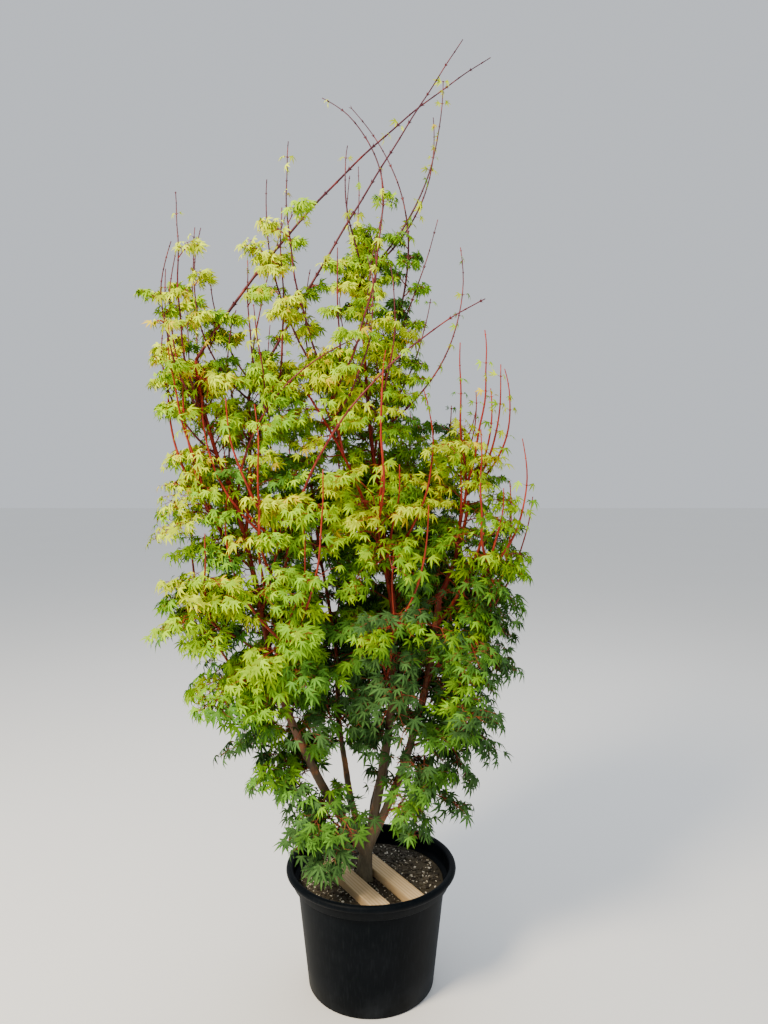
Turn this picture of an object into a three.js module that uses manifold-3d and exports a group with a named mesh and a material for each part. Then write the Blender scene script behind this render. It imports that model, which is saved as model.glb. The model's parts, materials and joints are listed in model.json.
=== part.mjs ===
// Potted japanese maple with coral-red upper stems: a multi-stemmed young tree in a round black
// container, with two timber battens lying on the compost beside the trunk.
// Millimetres, +Z up. The origin is the centre of the pot's flat underside.

import * as THREE from 'three';
import { mergeVertices } from 'three/addons/utils/BufferGeometryUtils.js';
import Module from 'manifold-3d';

const wasm = await Module();
wasm.setup();

const DEGREE = Math.PI / 180;
const UP = new THREE.Vector3(0, 0, 1);

// Clearance kept wherever one piece is seated on, or cut by, another.
const GAP = 0.3;
// Clear distance that a leaf or twig keeps to every piece it is not fused to.
const LEAF_CLEARANCE = 1.0;
const SHORTEST_EDGE = 0.03;

// Pot: a tapering moulded wall, a wider band below the lip and a rolled lip.
const POT_BASE_RADIUS = 185;
const POT_WALL_RADIUS = 217;
const POT_BAND_RADIUS = 232;
const POT_LIP_RADIUS = 250;
const POT_HEIGHT = 354;
const POT_BAND_FOOT = 303;
const POT_BAND_TOP = 333;
const POT_WALL = 3;
const POT_FLOOR = 4;
const POT_FOOT_BEVEL = 3;
const BAND_STEP = 4;
const LIP_THICKNESS = 14;
const LIP_ROUNDING = 5;
const POT_SEGMENTS = 26;

// Compost: fills the pot, flat in the middle and sinking a little towards the wall.
const COMPOST_LEVEL = 309.7;
const COMPOST_FLAT_RADIUS = 160;
const COMPOST_EDGE_DROP = 8;
// The flat facets of the wall come this much nearer to the compost than their corners do.
const COMPOST_SIDE_GAP = 0.4;

// Battens: sawn laths lying on the compost, butted against the near side of the wall.
const BATTEN_THICKNESS = 24;
const BATTEN_HEADING = 122;
const BATTENS = [
  { name: 'batten_left', near: [34, -208], width: 52, length: 300, nearSlant: 6, farSlant: -10 },
  { name: 'batten_right', near: [134, -169], width: 49, length: 285, nearSlant: -8, farSlant: 16 },
];

// Trunk foot: flat cut on the compost, with the root flare spread along the battens.
const TRUNK_FOOT = [-22, -20, COMPOST_LEVEL + GAP];
const FLARE_ALONG = 13;
const FLARE_ACROSS = 2;
const FLARE_HEIGHT = 16;

// Every limb is an arc: it leaves its parent at a fraction of the parent's length, on a compass
// bearing that turns by `turn` degrees while its rise changes from `rise` to `riseEnd`.
const LIMBS = [
  { name: 'trunk', bearing: 53, turn: 3, rise: 82, riseEnd: 78, length: 95, radius: [24, 18] },
  { name: 'left_bough', parent: 'trunk', at: 0.8, bearing: -159, turn: 4, rise: 55, riseEnd: 74,
    length: 660, radius: [14.5, 9.5] },
  { name: 'centre_stem', parent: 'trunk', at: 0.95, bearing: 30, turn: -13, rise: 73, riseEnd: 94,
    length: 760, radius: [15, 8] },
  { name: 'right_stem', parent: 'trunk', at: 0.86, bearing: 6, turn: 6, rise: 62, riseEnd: 86,
    length: 790, radius: [13, 10] },
  { name: 'middle_stem', parent: 'trunk', at: 0.86, bearing: 140, turn: -50, rise: 62, riseEnd: 74,
    length: 580, radius: [11, 6.5] },
  { name: 'rear_stem', parent: 'trunk', at: 0.92, bearing: 75, turn: -27, rise: 54, riseEnd: 76,
    length: 580, radius: [11, 6.5] },
  { name: 'left_outer', parent: 'left_bough', at: 0.985, bearing: -164, turn: 3, rise: 81,
    riseEnd: 75, length: 500, radius: [9, 6] },
  { name: 'left_low', parent: 'left_bough', at: 0.93, bearing: -138, turn: -28, rise: 63,
    riseEnd: 25, length: 215, radius: [5, 3] },
  { name: 'left_tip', parent: 'left_outer', at: 0.985, bearing: -171, turn: -14, rise: 65,
    riseEnd: 85, length: 365, radius: [5.8, 4.2] },
  { name: 'left_inner', parent: 'left_outer', at: 0.72, bearing: 53, turn: 71, rise: 80,
    riseEnd: 85, length: 395, radius: [5, 4] },
  { name: 'middle_top', parent: 'middle_stem', at: 0.985, bearing: 146, turn: 116, rise: 81,
    riseEnd: 79, length: 570, radius: [6.2, 3.2] },
  { name: 'rear_top', parent: 'rear_stem', at: 0.985, bearing: 28, turn: 36, rise: 74,
    riseEnd: 104, length: 595, radius: [6.2, 3.2] },
  { name: 'rear_right', parent: 'rear_stem', at: 0.8, bearing: 22, turn: -38, rise: 48,
    riseEnd: 76, length: 390, radius: [5, 3] },
  { name: 'upper_centre', parent: 'centre_stem', at: 0.985, bearing: -134, turn: -109, rise: 79,
    riseEnd: 89, length: 970, radius: [7.5, 3.4] },
  { name: 'upper_back', parent: 'centre_stem', at: 0.93, bearing: 118, turn: 45, rise: 72,
    riseEnd: 105, length: 835, radius: [5.5, 3.2] },
  { name: 'upper_front', parent: 'centre_stem', at: 0.86, bearing: -114, turn: -62, rise: 76,
    riseEnd: 56, length: 770, radius: [5.5, 2.6] },
  { name: 'right_fork', parent: 'right_stem', at: 0.88, bearing: -21, turn: 13, rise: 51,
    riseEnd: 76, length: 315, radius: [6.5, 3.6] },
  { name: 'right_top', parent: 'right_stem', at: 0.985, bearing: 12, turn: 36, rise: 62,
    riseEnd: 78, length: 305, radius: [8.5, 4] },
];

// Long whips: drawn like limbs, with a few small leaves in opposite pairs fused to them.
const SHOOTS = [
  { name: 'whip_long_left', parent: 'left_tip', at: 1, bearing: 9, turn: 16, rise: 58, riseEnd: 36,
    length: 1265, radius: [4.4, 1.4], pairs: 5 },
  { name: 'whip_long_inner', parent: 'left_inner', at: 1, bearing: 0, turn: 18, rise: 61,
    riseEnd: 57, length: 1175, radius: [4.2, 1.4], pairs: 5 },
  { name: 'whip_cross_low', parent: 'left_bough', at: 0.86, bearing: -84, turn: 109, rise: 93,
    riseEnd: 27, length: 1295, radius: [4.6, 1.5], pairs: 4 },
  { name: 'whip_cross_high', parent: 'left_outer', at: 0.9, bearing: -58, turn: 75, rise: 79,
    riseEnd: 24, length: 580, radius: [3.4, 1.4], pairs: 3 },
  { name: 'whip_crown_left', parent: 'upper_centre', at: 1, bearing: -167, turn: -16, rise: 127,
    riseEnd: 26, length: 550, radius: [3.2, 1.2], pairs: 3 },
  { name: 'whip_crown_right', parent: 'upper_back', at: 1, bearing: 133, turn: 59, rise: 115,
    riseEnd: 44, length: 680, radius: [3.2, 1.2], pairs: 3 },
  { name: 'whip_side_right', parent: 'upper_back', at: 0.9, bearing: -17, turn: 6, rise: 64,
    riseEnd: 75, length: 420, radius: [2.6, 1.2], pairs: 2 },
  { name: 'whip_upright_left', parent: 'left_inner', at: 0.45, bearing: 120, turn: -130, rise: 84,
    riseEnd: 72, length: 745, radius: [3.2, 1.3], pairs: 4 },
];

// Masses of foliage: each fills an egg-shaped space round its centre, up to the surface midway to
// its neighbours, and grows from one stem that leaves its host limb at a fraction of its length.
const MASSES = [
  { name: 'foliage_skirt_front', host: 'left_bough', at: 0.14, centre: [-115, -165, 530],
    reach: [150, 105, 90], tone: 'shade', leaf: 84 },
  { name: 'foliage_skirt_left', host: 'left_bough', at: 0.5, centre: [-250, -45, 610],
    reach: [110, 125, 130], tone: 'shade', leaf: 84 },
  { name: 'foliage_skirt_middle', host: 'middle_stem', at: 0.55, centre: [-125, 10, 760],
    reach: [100, 110, 95], tone: 'shade', leaves: 9, leaf: 84 },
  { name: 'foliage_skirt_right', host: 'right_stem', at: 0.16, centre: [145, -100, 565],
    reach: [140, 110, 110], tone: 'shade', leaf: 84 },
  { name: 'foliage_side_right_low', host: 'right_stem', at: 0.42, centre: [245, -45, 750],
    reach: [125, 125, 110], tone: 'shade' },
  { name: 'foliage_left_low', host: 'left_bough', at: 0.88, centre: [-350, -130, 875],
    reach: [135, 135, 125], tone: 'middle' },
  { name: 'foliage_left_bright', host: 'left_low', at: 1, centre: [-455, -185, 1115],
    reach: [130, 130, 130], tone: 'sunlit', leaves: 9 },
  { name: 'foliage_left_front', host: 'left_bough', at: 0.95, centre: [-215, -215, 1015],
    reach: [140, 120, 160], tone: 'sunlit' },
  { name: 'foliage_centre_front', host: 'centre_stem', at: 0.62, centre: [25, -145, 955],
    reach: [155, 130, 170], tone: 'shade', leaves: 16 },
  { name: 'foliage_right_low', host: 'right_stem', at: 0.72, centre: [260, -20, 945],
    reach: [140, 140, 130], tone: 'middle' },
  { name: 'foliage_right_middle', host: 'right_fork', at: 0.45, centre: [340, -20, 1165],
    reach: [130, 130, 130], tone: 'middle' },
  { name: 'foliage_rear_left', host: 'middle_stem', at: 0.9, centre: [-185, 170, 920],
    reach: [145, 140, 160], tone: 'shade', leaves: 9 },
  { name: 'foliage_rear_middle', host: 'rear_stem', at: 0.9, centre: [30, 275, 960],
    reach: [145, 130, 160], tone: 'shade', leaves: 9 },
  { name: 'foliage_rear_right', host: 'rear_right', at: 0.6, centre: [255, 215, 1030],
    reach: [140, 140, 160], tone: 'middle', leaves: 9 },
  { name: 'foliage_left_outer', host: 'left_outer', at: 0.55, centre: [-460, -130, 1370],
    reach: [130, 140, 150], tone: 'sunlit' },
  { name: 'foliage_left_inner', host: 'left_outer', at: 0.3, centre: [-235, -195, 1310],
    reach: [140, 130, 160], tone: 'sunlit' },
  { name: 'foliage_centre_high', host: 'upper_centre', at: 0.05, centre: [15, -140, 1310],
    reach: [155, 130, 180], tone: 'sunlit', leaves: 16 },
  { name: 'foliage_right_high', host: 'right_top', at: 0.4, centre: [275, 20, 1430],
    reach: [140, 140, 160], tone: 'sunlit', leaves: 9 },
  { name: 'foliage_rear_left_high', host: 'middle_top', at: 0.5, centre: [-210, 140, 1330],
    reach: [150, 145, 190], tone: 'middle', leaves: 9 },
  { name: 'foliage_rear_middle_high', host: 'upper_back', at: 0.25, centre: [10, 205, 1360],
    reach: [140, 130, 190], tone: 'middle', leaves: 9 },
  { name: 'foliage_rear_right_high', host: 'rear_top', at: 0.55, centre: [190, 245, 1400],
    reach: [135, 130, 170], tone: 'middle', leaves: 9 },
  { name: 'foliage_top_left', host: 'left_tip', at: 0.15, centre: [-450, -150, 1640],
    reach: [120, 125, 150], tone: 'young', leaf: 84 },
  { name: 'foliage_top_inner', host: 'left_inner', at: 0.35, centre: [-270, -90, 1650],
    reach: [130, 130, 165], tone: 'sunlit', leaf: 84 },
  { name: 'foliage_top_front', host: 'upper_front', at: 0.7, centre: [-105, -120, 1700],
    reach: [120, 120, 155], tone: 'young', leaf: 84 },
  { name: 'foliage_column_low', host: 'upper_centre', at: 0.42, centre: [45, 10, 1760],
    reach: [130, 125, 170], tone: 'sunlit', leaves: 16, leaf: 84 },
  { name: 'foliage_column_top', host: 'upper_centre', at: 0.82, centre: [-20, 20, 2070],
    reach: [115, 110, 160], tone: 'young', leaf: 84 },
];
const LEAVES_IN_A_MASS = 11;
// Leaf tips may pass the egg-shaped surface by this factor, but stay this much nearer, in shares
// of the reach, to their own centre than to any other.
const SPACE_EDGE = 1.15;
const SPACE_MARGIN = 0.02;
const LEAF_TRIES = 40;
const TWIG_TRIES = 9;
const TWIG_LEVELS = 4;
const TWIG_SHARES = [0.95, 0.8, 0.65, 0.5];
// Twigs end inside this share of the space, so that their leaves still fit in it.
const TWIG_EDGE = 0.8;
// Each twig leaves the stem this many degrees round from the one below it, or as much further as
// its tries take it, and leans up along the stem.
const TWIG_SPIRAL = 137;
const TWIG_TRY_TURN = 40;
const TWIG_LEAN = 0.35;
// Leaves stand at these shares of a twig, and one near the end of the stem.
const LEAF_PLACES = [0.92, 0.5];
const STEM_LEAF_PLACE = 0.97;
const LAST_TWIG_PLACE = 0.95;

// Leaf blades: pointed lobes round the point where the stalk meets the blade. Lobes and the notches
// between them are an angle off the middle lobe and a length as a share of it, from the foot up.
const LEAF = {
  length: 104,
  edge: [{ angle: 54, length: 0.9 }, { angle: 27, length: 0.58 }],
};
const WHIP_LEAF = {
  length: 60,
  edge: [{ angle: 44, length: 0.85 }, { angle: 21, length: 0.42 }],
};
const LEAF_DROOP = 1.1;
const LEAF_THICKNESS = 0.034;
const LEAF_STALK = 0.36;
const LEAF_ROLL = 70;
// Lengths vary by this share to either side of the mean.
const LEAF_VARIETY = 0.15;
// A leaf first tries headings within this many degrees of outwards, and a wider fan in each round.
const LEAF_FAN = 40;
const LEAF_FAN_STEP = 14;
// The middle of the mass that leaves point away from is blurred by this much.
const LEAF_SCATTER = 80;

// Limbs are tubes of flat faces, with a collar where they leave their parent.
const TRUNK_SIDES = 12;
const TRUNK_RINGS = [0, 0.08, 0.2, 0.42, 0.7, 1];
const LIMB_SIDES = 5;
const LIMB_RING_SPACING = 110;
const FEWEST_LIMB_RINGS = 3;
// The collar swells the foot of a limb by this share of its radius and fades over this many radii.
// A limb that goes on from the end of its parent, past this place, has none.
const COLLAR_SWELL = 0.3;
const COLLAR_LENGTH = 1.3;
const LAST_COLLAR_PLACE = 0.95;
// Limbs are grown by this much where they cut their children and siblings.
const CUT_GROWTH = 1.2 * GAP;

// Stems of the masses, and the twigs that stand out from them.
const TWIG_SIDES = 3;
const STEM_RINGS = 4;
const WHIP_RING_SPACING = 130;
const FEWEST_WHIP_RINGS = 4;
const FIRST_WHIP_LEAF = 0.28;
const LAST_WHIP_LEAF = 0.96;
const STEM_RADIUS = [6.4, 4.4];
// A leaf's root lies this far behind the twig's axis.
const ROOT_DEPTH = 0.5;
// Leaves stand off their twig: the most that their headings may share, as a cosine.
const MOST_ALONG_TWIG = 0.5;
const STEM_CLIMB = 0.72;
// The stem ends this share of the reach beyond the centre, and bends at this share of its way.
const STEM_BEYOND = 0.15;
const STEM_BEND = 0.75;
// A stem that meets a limb is tried again, each time with a little more sway.
const STEM_TRIES = 80;
const STEM_SWAY = 2.5;
// Beyond its first third the middle line of a stem stays this far from that of its host.
const STEM_STANDOFF = 22;
const TWIG_RADIUS = [2.9, 2.7];
const PATH_STEPS = 24;

const LEAF_COLOURS = {
  shade: 0x3d7a26,
  middle: 0x6a9f2c,
  sunlit: 0x9fc233,
  young: 0xc2c63a,
};
const BARK_COLOURS = { old: 0x6f5d49, stem: 0x8f5a3c, coral: 0xb2402e, whip: 0x7a2f2e };

const model = new THREE.Group();

// Seeded numbers between 0 and 1, the same on every run.
function seededRandom(seed) {
  let state = seed >>> 0;
  return () => {
    state = (state + 0x6d2b79f5) >>> 0;
    let mixed = Math.imul(state ^ (state >>> 15), 1 | state);
    mixed = (mixed + Math.imul(mixed ^ (mixed >>> 7), 61 | mixed)) ^ mixed;
    return ((mixed ^ (mixed >>> 14)) >>> 0) / 4294967296;
  };
}

// A closed geometry with shared vertices and no collapsed triangles.
function weld(geometry) {
  const bare = geometry.index ? geometry.toNonIndexed() : geometry.clone();
  bare.deleteAttribute('normal');
  bare.deleteAttribute('uv');
  const welded = mergeVertices(bare, 1e-3);
  const kept = [];
  const index = welded.index.array;
  for (let i = 0; i < index.length; i += 3) {
    const [a, b, c] = [index[i], index[i + 1], index[i + 2]];
    if (a !== b && b !== c && c !== a) kept.push(a, b, c);
  }
  welded.setIndex(kept);
  return welded;
}

function solidFrom(geometry) {
  const welded = weld(geometry);
  return new wasm.Manifold(new wasm.Mesh({
    numProp: 3,
    vertProperties: new Float32Array(welded.attributes.position.array),
    triVerts: new Uint32Array(welded.index.array),
  }));
}

// The largest outer body of a solid: scraps are dropped and sealed hollows are filled.
function mainBody(solid) {
  const bodies = solid.decompose().sort((a, b) => b.volume() - a.volume());
  return bodies[0];
}

// The main body with its shortest edges closed up.
function cleanBody(solid) {
  return mainBody(mainBody(solid).simplify(SHORTEST_EDGE));
}

function addPiece(name, solid, colour, roughness) {
  const source = solid.getMesh();
  const geometry = new THREE.BufferGeometry();
  geometry.setAttribute('position', new THREE.BufferAttribute(source.vertProperties, 3));
  geometry.setIndex(new THREE.BufferAttribute(source.triVerts, 1));
  geometry.computeVertexNormals();
  const material = new THREE.MeshStandardMaterial({ color: colour, roughness, metalness: 0 });
  const mesh = new THREE.Mesh(geometry, material);
  mesh.name = name;
  model.add(mesh);
}

function direction(bearing, rise) {
  const flat = Math.cos(rise * DEGREE);
  return new THREE.Vector3(
    flat * Math.cos(bearing * DEGREE),
    flat * Math.sin(bearing * DEGREE),
    Math.sin(rise * DEGREE),
  );
}

// The points of an arc, PATH_STEPS + 1 of them.
function arcPoints(start, arc) {
  const points = [start.clone()];
  for (let step = 0; step < PATH_STEPS; step += 1) {
    const t = (step + 0.5) / PATH_STEPS;
    const way = direction(arc.bearing + arc.turn * t, arc.rise + (arc.riseEnd - arc.rise) * t);
    points.push(points[step].clone().addScaledVector(way, arc.length / PATH_STEPS));
  }
  return points;
}

function pointAt(points, share) {
  const place = Math.min(Math.max(share, 0), 1) * (points.length - 1);
  const step = Math.min(Math.floor(place), points.length - 2);
  return points[step].clone().lerp(points[step + 1], place - step);
}

function tangentAt(points, share) {
  const step = Math.min(Math.floor(share * (points.length - 1)), points.length - 2);
  return points[step + 1].clone().sub(points[step]).normalize();
}

function sideOf(way) {
  const other = Math.abs(way.z) < 0.9 ? UP : new THREE.Vector3(1, 0, 0);
  return new THREE.Vector3().crossVectors(way, other).normalize();
}

// A closed tapering tube along a path: a cylinder whose rings are moved to shares of the path.
// radiusAt(share, angle) gives the radius, so a flare or a growth allowance can be put in.
function tube(points, shares, sides, radiusAt, overshoot = 0) {
  const rings = shares.length - 1;
  const geometry = weld(new THREE.CylinderGeometry(1, 1, rings, sides, rings));
  const frames = [];
  let side = sideOf(tangentAt(points, shares[0]));
  for (const share of shares) {
    const way = tangentAt(points, share);
    side = side.clone().addScaledVector(way, -side.dot(way)).normalize();
    const centre = pointAt(points, share);
    if (share === shares[0]) centre.addScaledVector(way, -overshoot);
    if (share === shares[rings]) centre.addScaledVector(way, overshoot);
    frames.push({ centre, side, cross: new THREE.Vector3().crossVectors(way, side), share });
  }
  const position = geometry.attributes.position;
  const vertex = new THREE.Vector3();
  for (let i = 0; i < position.count; i += 1) {
    vertex.fromBufferAttribute(position, i);
    const frame = frames[Math.round(vertex.y + rings / 2)];
    const angle = Math.atan2(vertex.x, vertex.z);
    const radius = Math.hypot(vertex.x, vertex.z) * radiusAt(frame.share, angle, frame);
    const placed = frame.centre.clone()
      .addScaledVector(frame.side, radius * Math.sin(angle))
      .addScaledVector(frame.cross, -radius * Math.cos(angle));
    position.setXYZ(i, placed.x, placed.y, placed.z);
  }
  return solidFrom(geometry);
}

function evenShares(count, from = 0) {
  return Array.from({ length: count + 1 }, (_, i) => from + (1 - from) * (i / count));
}

// Obstacles that later pieces keep clear of: every limb, whip, stem, twig and leaf made so far.
const obstacles = [];

function rememberObstacle(solid, owner) {
  obstacles.push({ solid, box: solid.boundingBox(), owner });
}

function boxesTouch(a, b, margin) {
  return a.min.every((low, axis) => low - margin <= b.max[axis] && b.min[axis] - margin <= a.max[axis]);
}

function isClear(solid, owner, clearance = LEAF_CLEARANCE) {
  const box = solid.boundingBox();
  return obstacles.every((other) => other.owner === owner
    || !boxesTouch(box, other.box, clearance)
    || solid.minGap(other.solid, clearance * 2) >= clearance);
}

// Pot, compost and battens

function revolve(profile) {
  const points = profile.map(([radius, height]) => new THREE.Vector2(radius, height));
  const geometry = new THREE.LatheGeometry(points, POT_SEGMENTS);
  geometry.rotateX(Math.PI / 2);
  return solidFrom(geometry);
}

function wallRadius(height) {
  const share = height / POT_BAND_FOOT;
  return POT_BASE_RADIUS + (POT_WALL_RADIUS - POT_BASE_RADIUS) * share;
}

function makePot() {
  const lipFoot = POT_HEIGHT - 1.5 * LIP_THICKNESS;
  const lipMiddle = POT_HEIGHT - 0.8 * LIP_THICKNESS;
  const lipInner = POT_LIP_RADIUS - LIP_THICKNESS;
  const bandInner = POT_BAND_RADIUS - POT_WALL;
  return revolve([
    [0, 0],
    [POT_BASE_RADIUS - POT_FOOT_BEVEL, 0],
    [wallRadius(POT_FOOT_BEVEL), POT_FOOT_BEVEL],
    [POT_WALL_RADIUS, POT_BAND_FOOT],
    [POT_BAND_RADIUS - 2, POT_BAND_FOOT + BAND_STEP],
    [POT_BAND_RADIUS + POT_WALL, POT_BAND_TOP],
    [POT_LIP_RADIUS - LIP_ROUNDING, lipFoot],
    [POT_LIP_RADIUS, lipMiddle],
    [POT_LIP_RADIUS - 0.4 * LIP_ROUNDING, POT_HEIGHT - LIP_ROUNDING],
    [POT_LIP_RADIUS - LIP_THICKNESS / 2, POT_HEIGHT],
    [lipInner, POT_HEIGHT - 0.6 * LIP_ROUNDING],
    [POT_BAND_RADIUS, POT_BAND_TOP],
    [bandInner - 2, POT_BAND_FOOT + BAND_STEP + POT_WALL],
    [POT_WALL_RADIUS - POT_WALL, POT_BAND_FOOT],
    [wallRadius(POT_FLOOR) - POT_WALL, POT_FLOOR],
    [0, POT_FLOOR],
  ]);
}

function makeCompost() {
  const inset = POT_WALL + COMPOST_SIDE_GAP;
  const foot = POT_FLOOR + GAP;
  const edge = COMPOST_LEVEL - COMPOST_EDGE_DROP;
  return revolve([
    [0, foot],
    [wallRadius(foot) - inset, foot],
    [wallRadius(edge) - inset, edge],
    [COMPOST_FLAT_RADIUS, COMPOST_LEVEL],
    [0, COMPOST_LEVEL],
  ]);
}

// A batten in plan is a long four-sided board whose ends are cut a little off square.
function makeBatten({ near, width, length, nearSlant, farSlant }) {
  const half = width / 2;
  const outline = new THREE.Shape([
    new THREE.Vector2(nearSlant / 2, -half),
    new THREE.Vector2(length - farSlant / 2, -half),
    new THREE.Vector2(length + farSlant / 2, half),
    new THREE.Vector2(-nearSlant / 2, half),
  ]);
  const board = new THREE.ExtrudeGeometry(outline, { depth: BATTEN_THICKNESS, bevelEnabled: false });
  board.rotateZ(BATTEN_HEADING * DEGREE);
  board.translate(near[0], near[1], COMPOST_LEVEL + GAP);
  return solidFrom(board);
}

// Limbs

const limbs = new Map();

function limbRadius(limb, share) {
  const [base, tip] = limb.radius;
  const fade = Math.exp((-share * limb.length) / (COLLAR_LENGTH * base));
  const collar = limb.joins ? COLLAR_SWELL * base * fade : 0;
  return base + (tip - base) * share + collar;
}

function trunkRadius(limb, share, angle, frame) {
  const out = frame.side.clone().multiplyScalar(Math.sin(angle))
    .addScaledVector(frame.cross, -Math.cos(angle));
  const turned = Math.atan2(out.y, out.x) - BATTEN_HEADING * DEGREE;
  const spread = FLARE_ACROSS + (FLARE_ALONG - FLARE_ACROSS) * Math.cos(turned) ** 2;
  return limbRadius(limb, share) + spread * Math.exp((-share * limb.length) / FLARE_HEIGHT);
}

function limbShares(limb) {
  if (!limb.parent) return TRUNK_RINGS;
  const rings = Math.max(FEWEST_LIMB_RINGS, Math.round(limb.length / LIMB_RING_SPACING));
  const first = (1.4 * COLLAR_LENGTH * limb.radius[0]) / limb.length;
  return [0, ...evenShares(rings, first)];
}

function makeLimbs() {
  for (const spec of LIMBS) {
    const parent = limbs.get(spec.parent);
    const start = parent ? pointAt(parent.points, spec.at) : new THREE.Vector3(...TRUNK_FOOT);
    const joins = Boolean(parent) && spec.at < LAST_COLLAR_PLACE;
    const limb = { ...spec, joins, points: arcPoints(start, spec) };
    const sides = parent ? LIMB_SIDES : TRUNK_SIDES;
    const radiusAt = parent ? limbRadius : trunkRadius;
    const build = (extra) => tube(limb.points, limbShares(limb), sides,
      (share, angle, frame) => radiusAt(limb, share, angle, frame) + extra, extra);
    let solid = build(0);
    for (const other of limbs.values()) {
      const near = other.name === spec.parent || other.parent === spec.parent;
      if (near) solid = solid.subtract(other.grown);
    }
    if (!parent) solid = solid.trimByPlane([0, 0, 1], TRUNK_FOOT[2]);
    limb.solid = cleanBody(solid);
    limb.grown = build(CUT_GROWTH);
    limbs.set(limb.name, limb);
    rememberObstacle(limb.solid, limb.name);
  }
}

// Stems and whips that leave a host limb

function stemSolid(points, host, rings, radii) {
  const whole = tube(points, evenShares(rings), TWIG_SIDES,
    (share) => radii[0] + (radii[1] - radii[0]) * share);
  return cleanBody(whole.subtract(host.grown));
}

function makeShoots() {
  return SHOOTS.map((spec) => {
    const host = limbs.get(spec.parent);
    const points = arcPoints(pointAt(host.points, spec.at), spec);
    const rings = Math.max(FEWEST_WHIP_RINGS, Math.round(spec.length / WHIP_RING_SPACING));
    const solid = stemSolid(points, host, rings, spec.radius);
    rememberObstacle(solid, spec.name);
    return { ...spec, points, parts: [solid] };
  });
}

// The stem of a mass leaves its host limb, reaches the middle of the mass and climbs towards its top.
function massStem(mass, random) {
  const host = limbs.get(mass.host);
  const start = pointAt(host.points, mass.at);
  const centre = new THREE.Vector3(...mass.centre);
  const onward = centre.clone().sub(start);
  const outward = onward.clone().setZ(0).normalize();
  const end = centre.clone().addScaledVector(outward, mass.reach[0] * STEM_BEYOND)
    .addScaledVector(UP, mass.reach[2] * STEM_CLIMB);
  const hostLine = evenShares(5 * PATH_STEPS).map((share) => pointAt(host.points, share));
  for (let attempt = 0; attempt < STEM_TRIES; attempt += 1) {
    const sway = new THREE.Vector3(random() - 0.5, random() - 0.5, random() - 0.5)
      .multiplyScalar(attempt * STEM_SWAY);
    const bend = start.clone().addScaledVector(onward, STEM_BEND).add(sway);
    const curve = new THREE.QuadraticBezierCurve3(start, bend, end.clone().add(sway));
    const points = curve.getPoints(PATH_STEPS);
    const free = points.slice(PATH_STEPS / 3).every((point) => {
      return hostLine.every((other) => point.distanceTo(other) > STEM_STANDOFF);
    });
    if (!free) continue;
    const solid = stemSolid(points, host, STEM_RINGS, STEM_RADIUS);
    if (isClear(solid, mass.host, GAP)) return { points, solid };
  }
  throw new Error(`no clear way for the stem of ${mass.name}`);
}

// Spaces of the masses

function scaledDistance(mass, point) {
  return Math.hypot(
    (point.x - mass.centre[0]) / mass.reach[0],
    (point.y - mass.centre[1]) / mass.reach[1],
    (point.z - mass.centre[2]) / mass.reach[2],
  );
}

function inSpace(mass, point) {
  const own = scaledDistance(mass, point);
  return own < SPACE_EDGE && MASSES.every((other) => other === mass
    || scaledDistance(other, point) > own + SPACE_MARGIN);
}

// Leaves

// The corners of a blade in its own plane: x along the middle lobe, y to the side.
function leafOutline(kind) {
  const corner = ({ angle, length }, side) => [
    length * Math.cos(angle * DEGREE), side * length * Math.sin(angle * DEGREE),
  ];
  const left = kind.edge.map((part) => corner(part, -1));
  const right = kind.edge.map((part) => corner(part, 1)).reverse();
  return [[-LEAF_STALK, 0], ...left, [1, 0], ...right];
}

// A thin blade, thickest where the stalk meets it: a double pyramid over the outline. The guard
// is the same blade without its root, used to keep leaves of one mass apart.
function leafShape(kind, root, forward, normal, length) {
  const side = new THREE.Vector3().crossVectors(normal, forward);
  const palm = root.clone().addScaledVector(forward, LEAF_STALK * length - ROOT_DEPTH);
  const place = ([x, y]) => palm.clone()
    .addScaledVector(forward, x * length)
    .addScaledVector(side, y * length);
  const corners = leafOutline(kind).map(place);
  const build = (ring) => {
    const half = (LEAF_THICKNESS * length) / 2;
    const top = palm.clone().addScaledVector(normal, half);
    const under = palm.clone().addScaledVector(normal, -half);
    const vertices = [...ring, top, under];
    const index = [];
    for (let i = 0; i < ring.length; i += 1) {
      const next = (i + 1) % ring.length;
      index.push(i, next, ring.length, next, i, ring.length + 1);
    }
    const geometry = new THREE.BufferGeometry().setFromPoints(vertices);
    geometry.setIndex(index);
    return solidFrom(geometry);
  };
  const clipped = [place([-LEAF_STALK * 0.3, 0]), ...corners.slice(1)];
  return { solid: build(corners), guard: build(clipped), corners };
}

// A leaf at a site: it points outwards from the mass and droops, on a seeded heading.
function tryLeaf(kind, site, outward, spread, length, random) {
  const heading = outward.clone().applyAxisAngle(UP, spread * DEGREE * (random() * 2 - 1));
  heading.z -= LEAF_DROOP * (0.3 + random());
  heading.normalize();
  if (Math.abs(heading.dot(site.axis)) > MOST_ALONG_TWIG) return null;
  const side = sideOf(heading).applyAxisAngle(heading, (random() - 0.5) * LEAF_ROLL * DEGREE);
  const normal = new THREE.Vector3().crossVectors(heading, side).normalize();
  if (normal.z < 0) normal.negate();
  const size = length * (1 + LEAF_VARIETY * (2 * random() - 1));
  return leafShape(kind, site.root, heading, normal, size);
}

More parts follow.
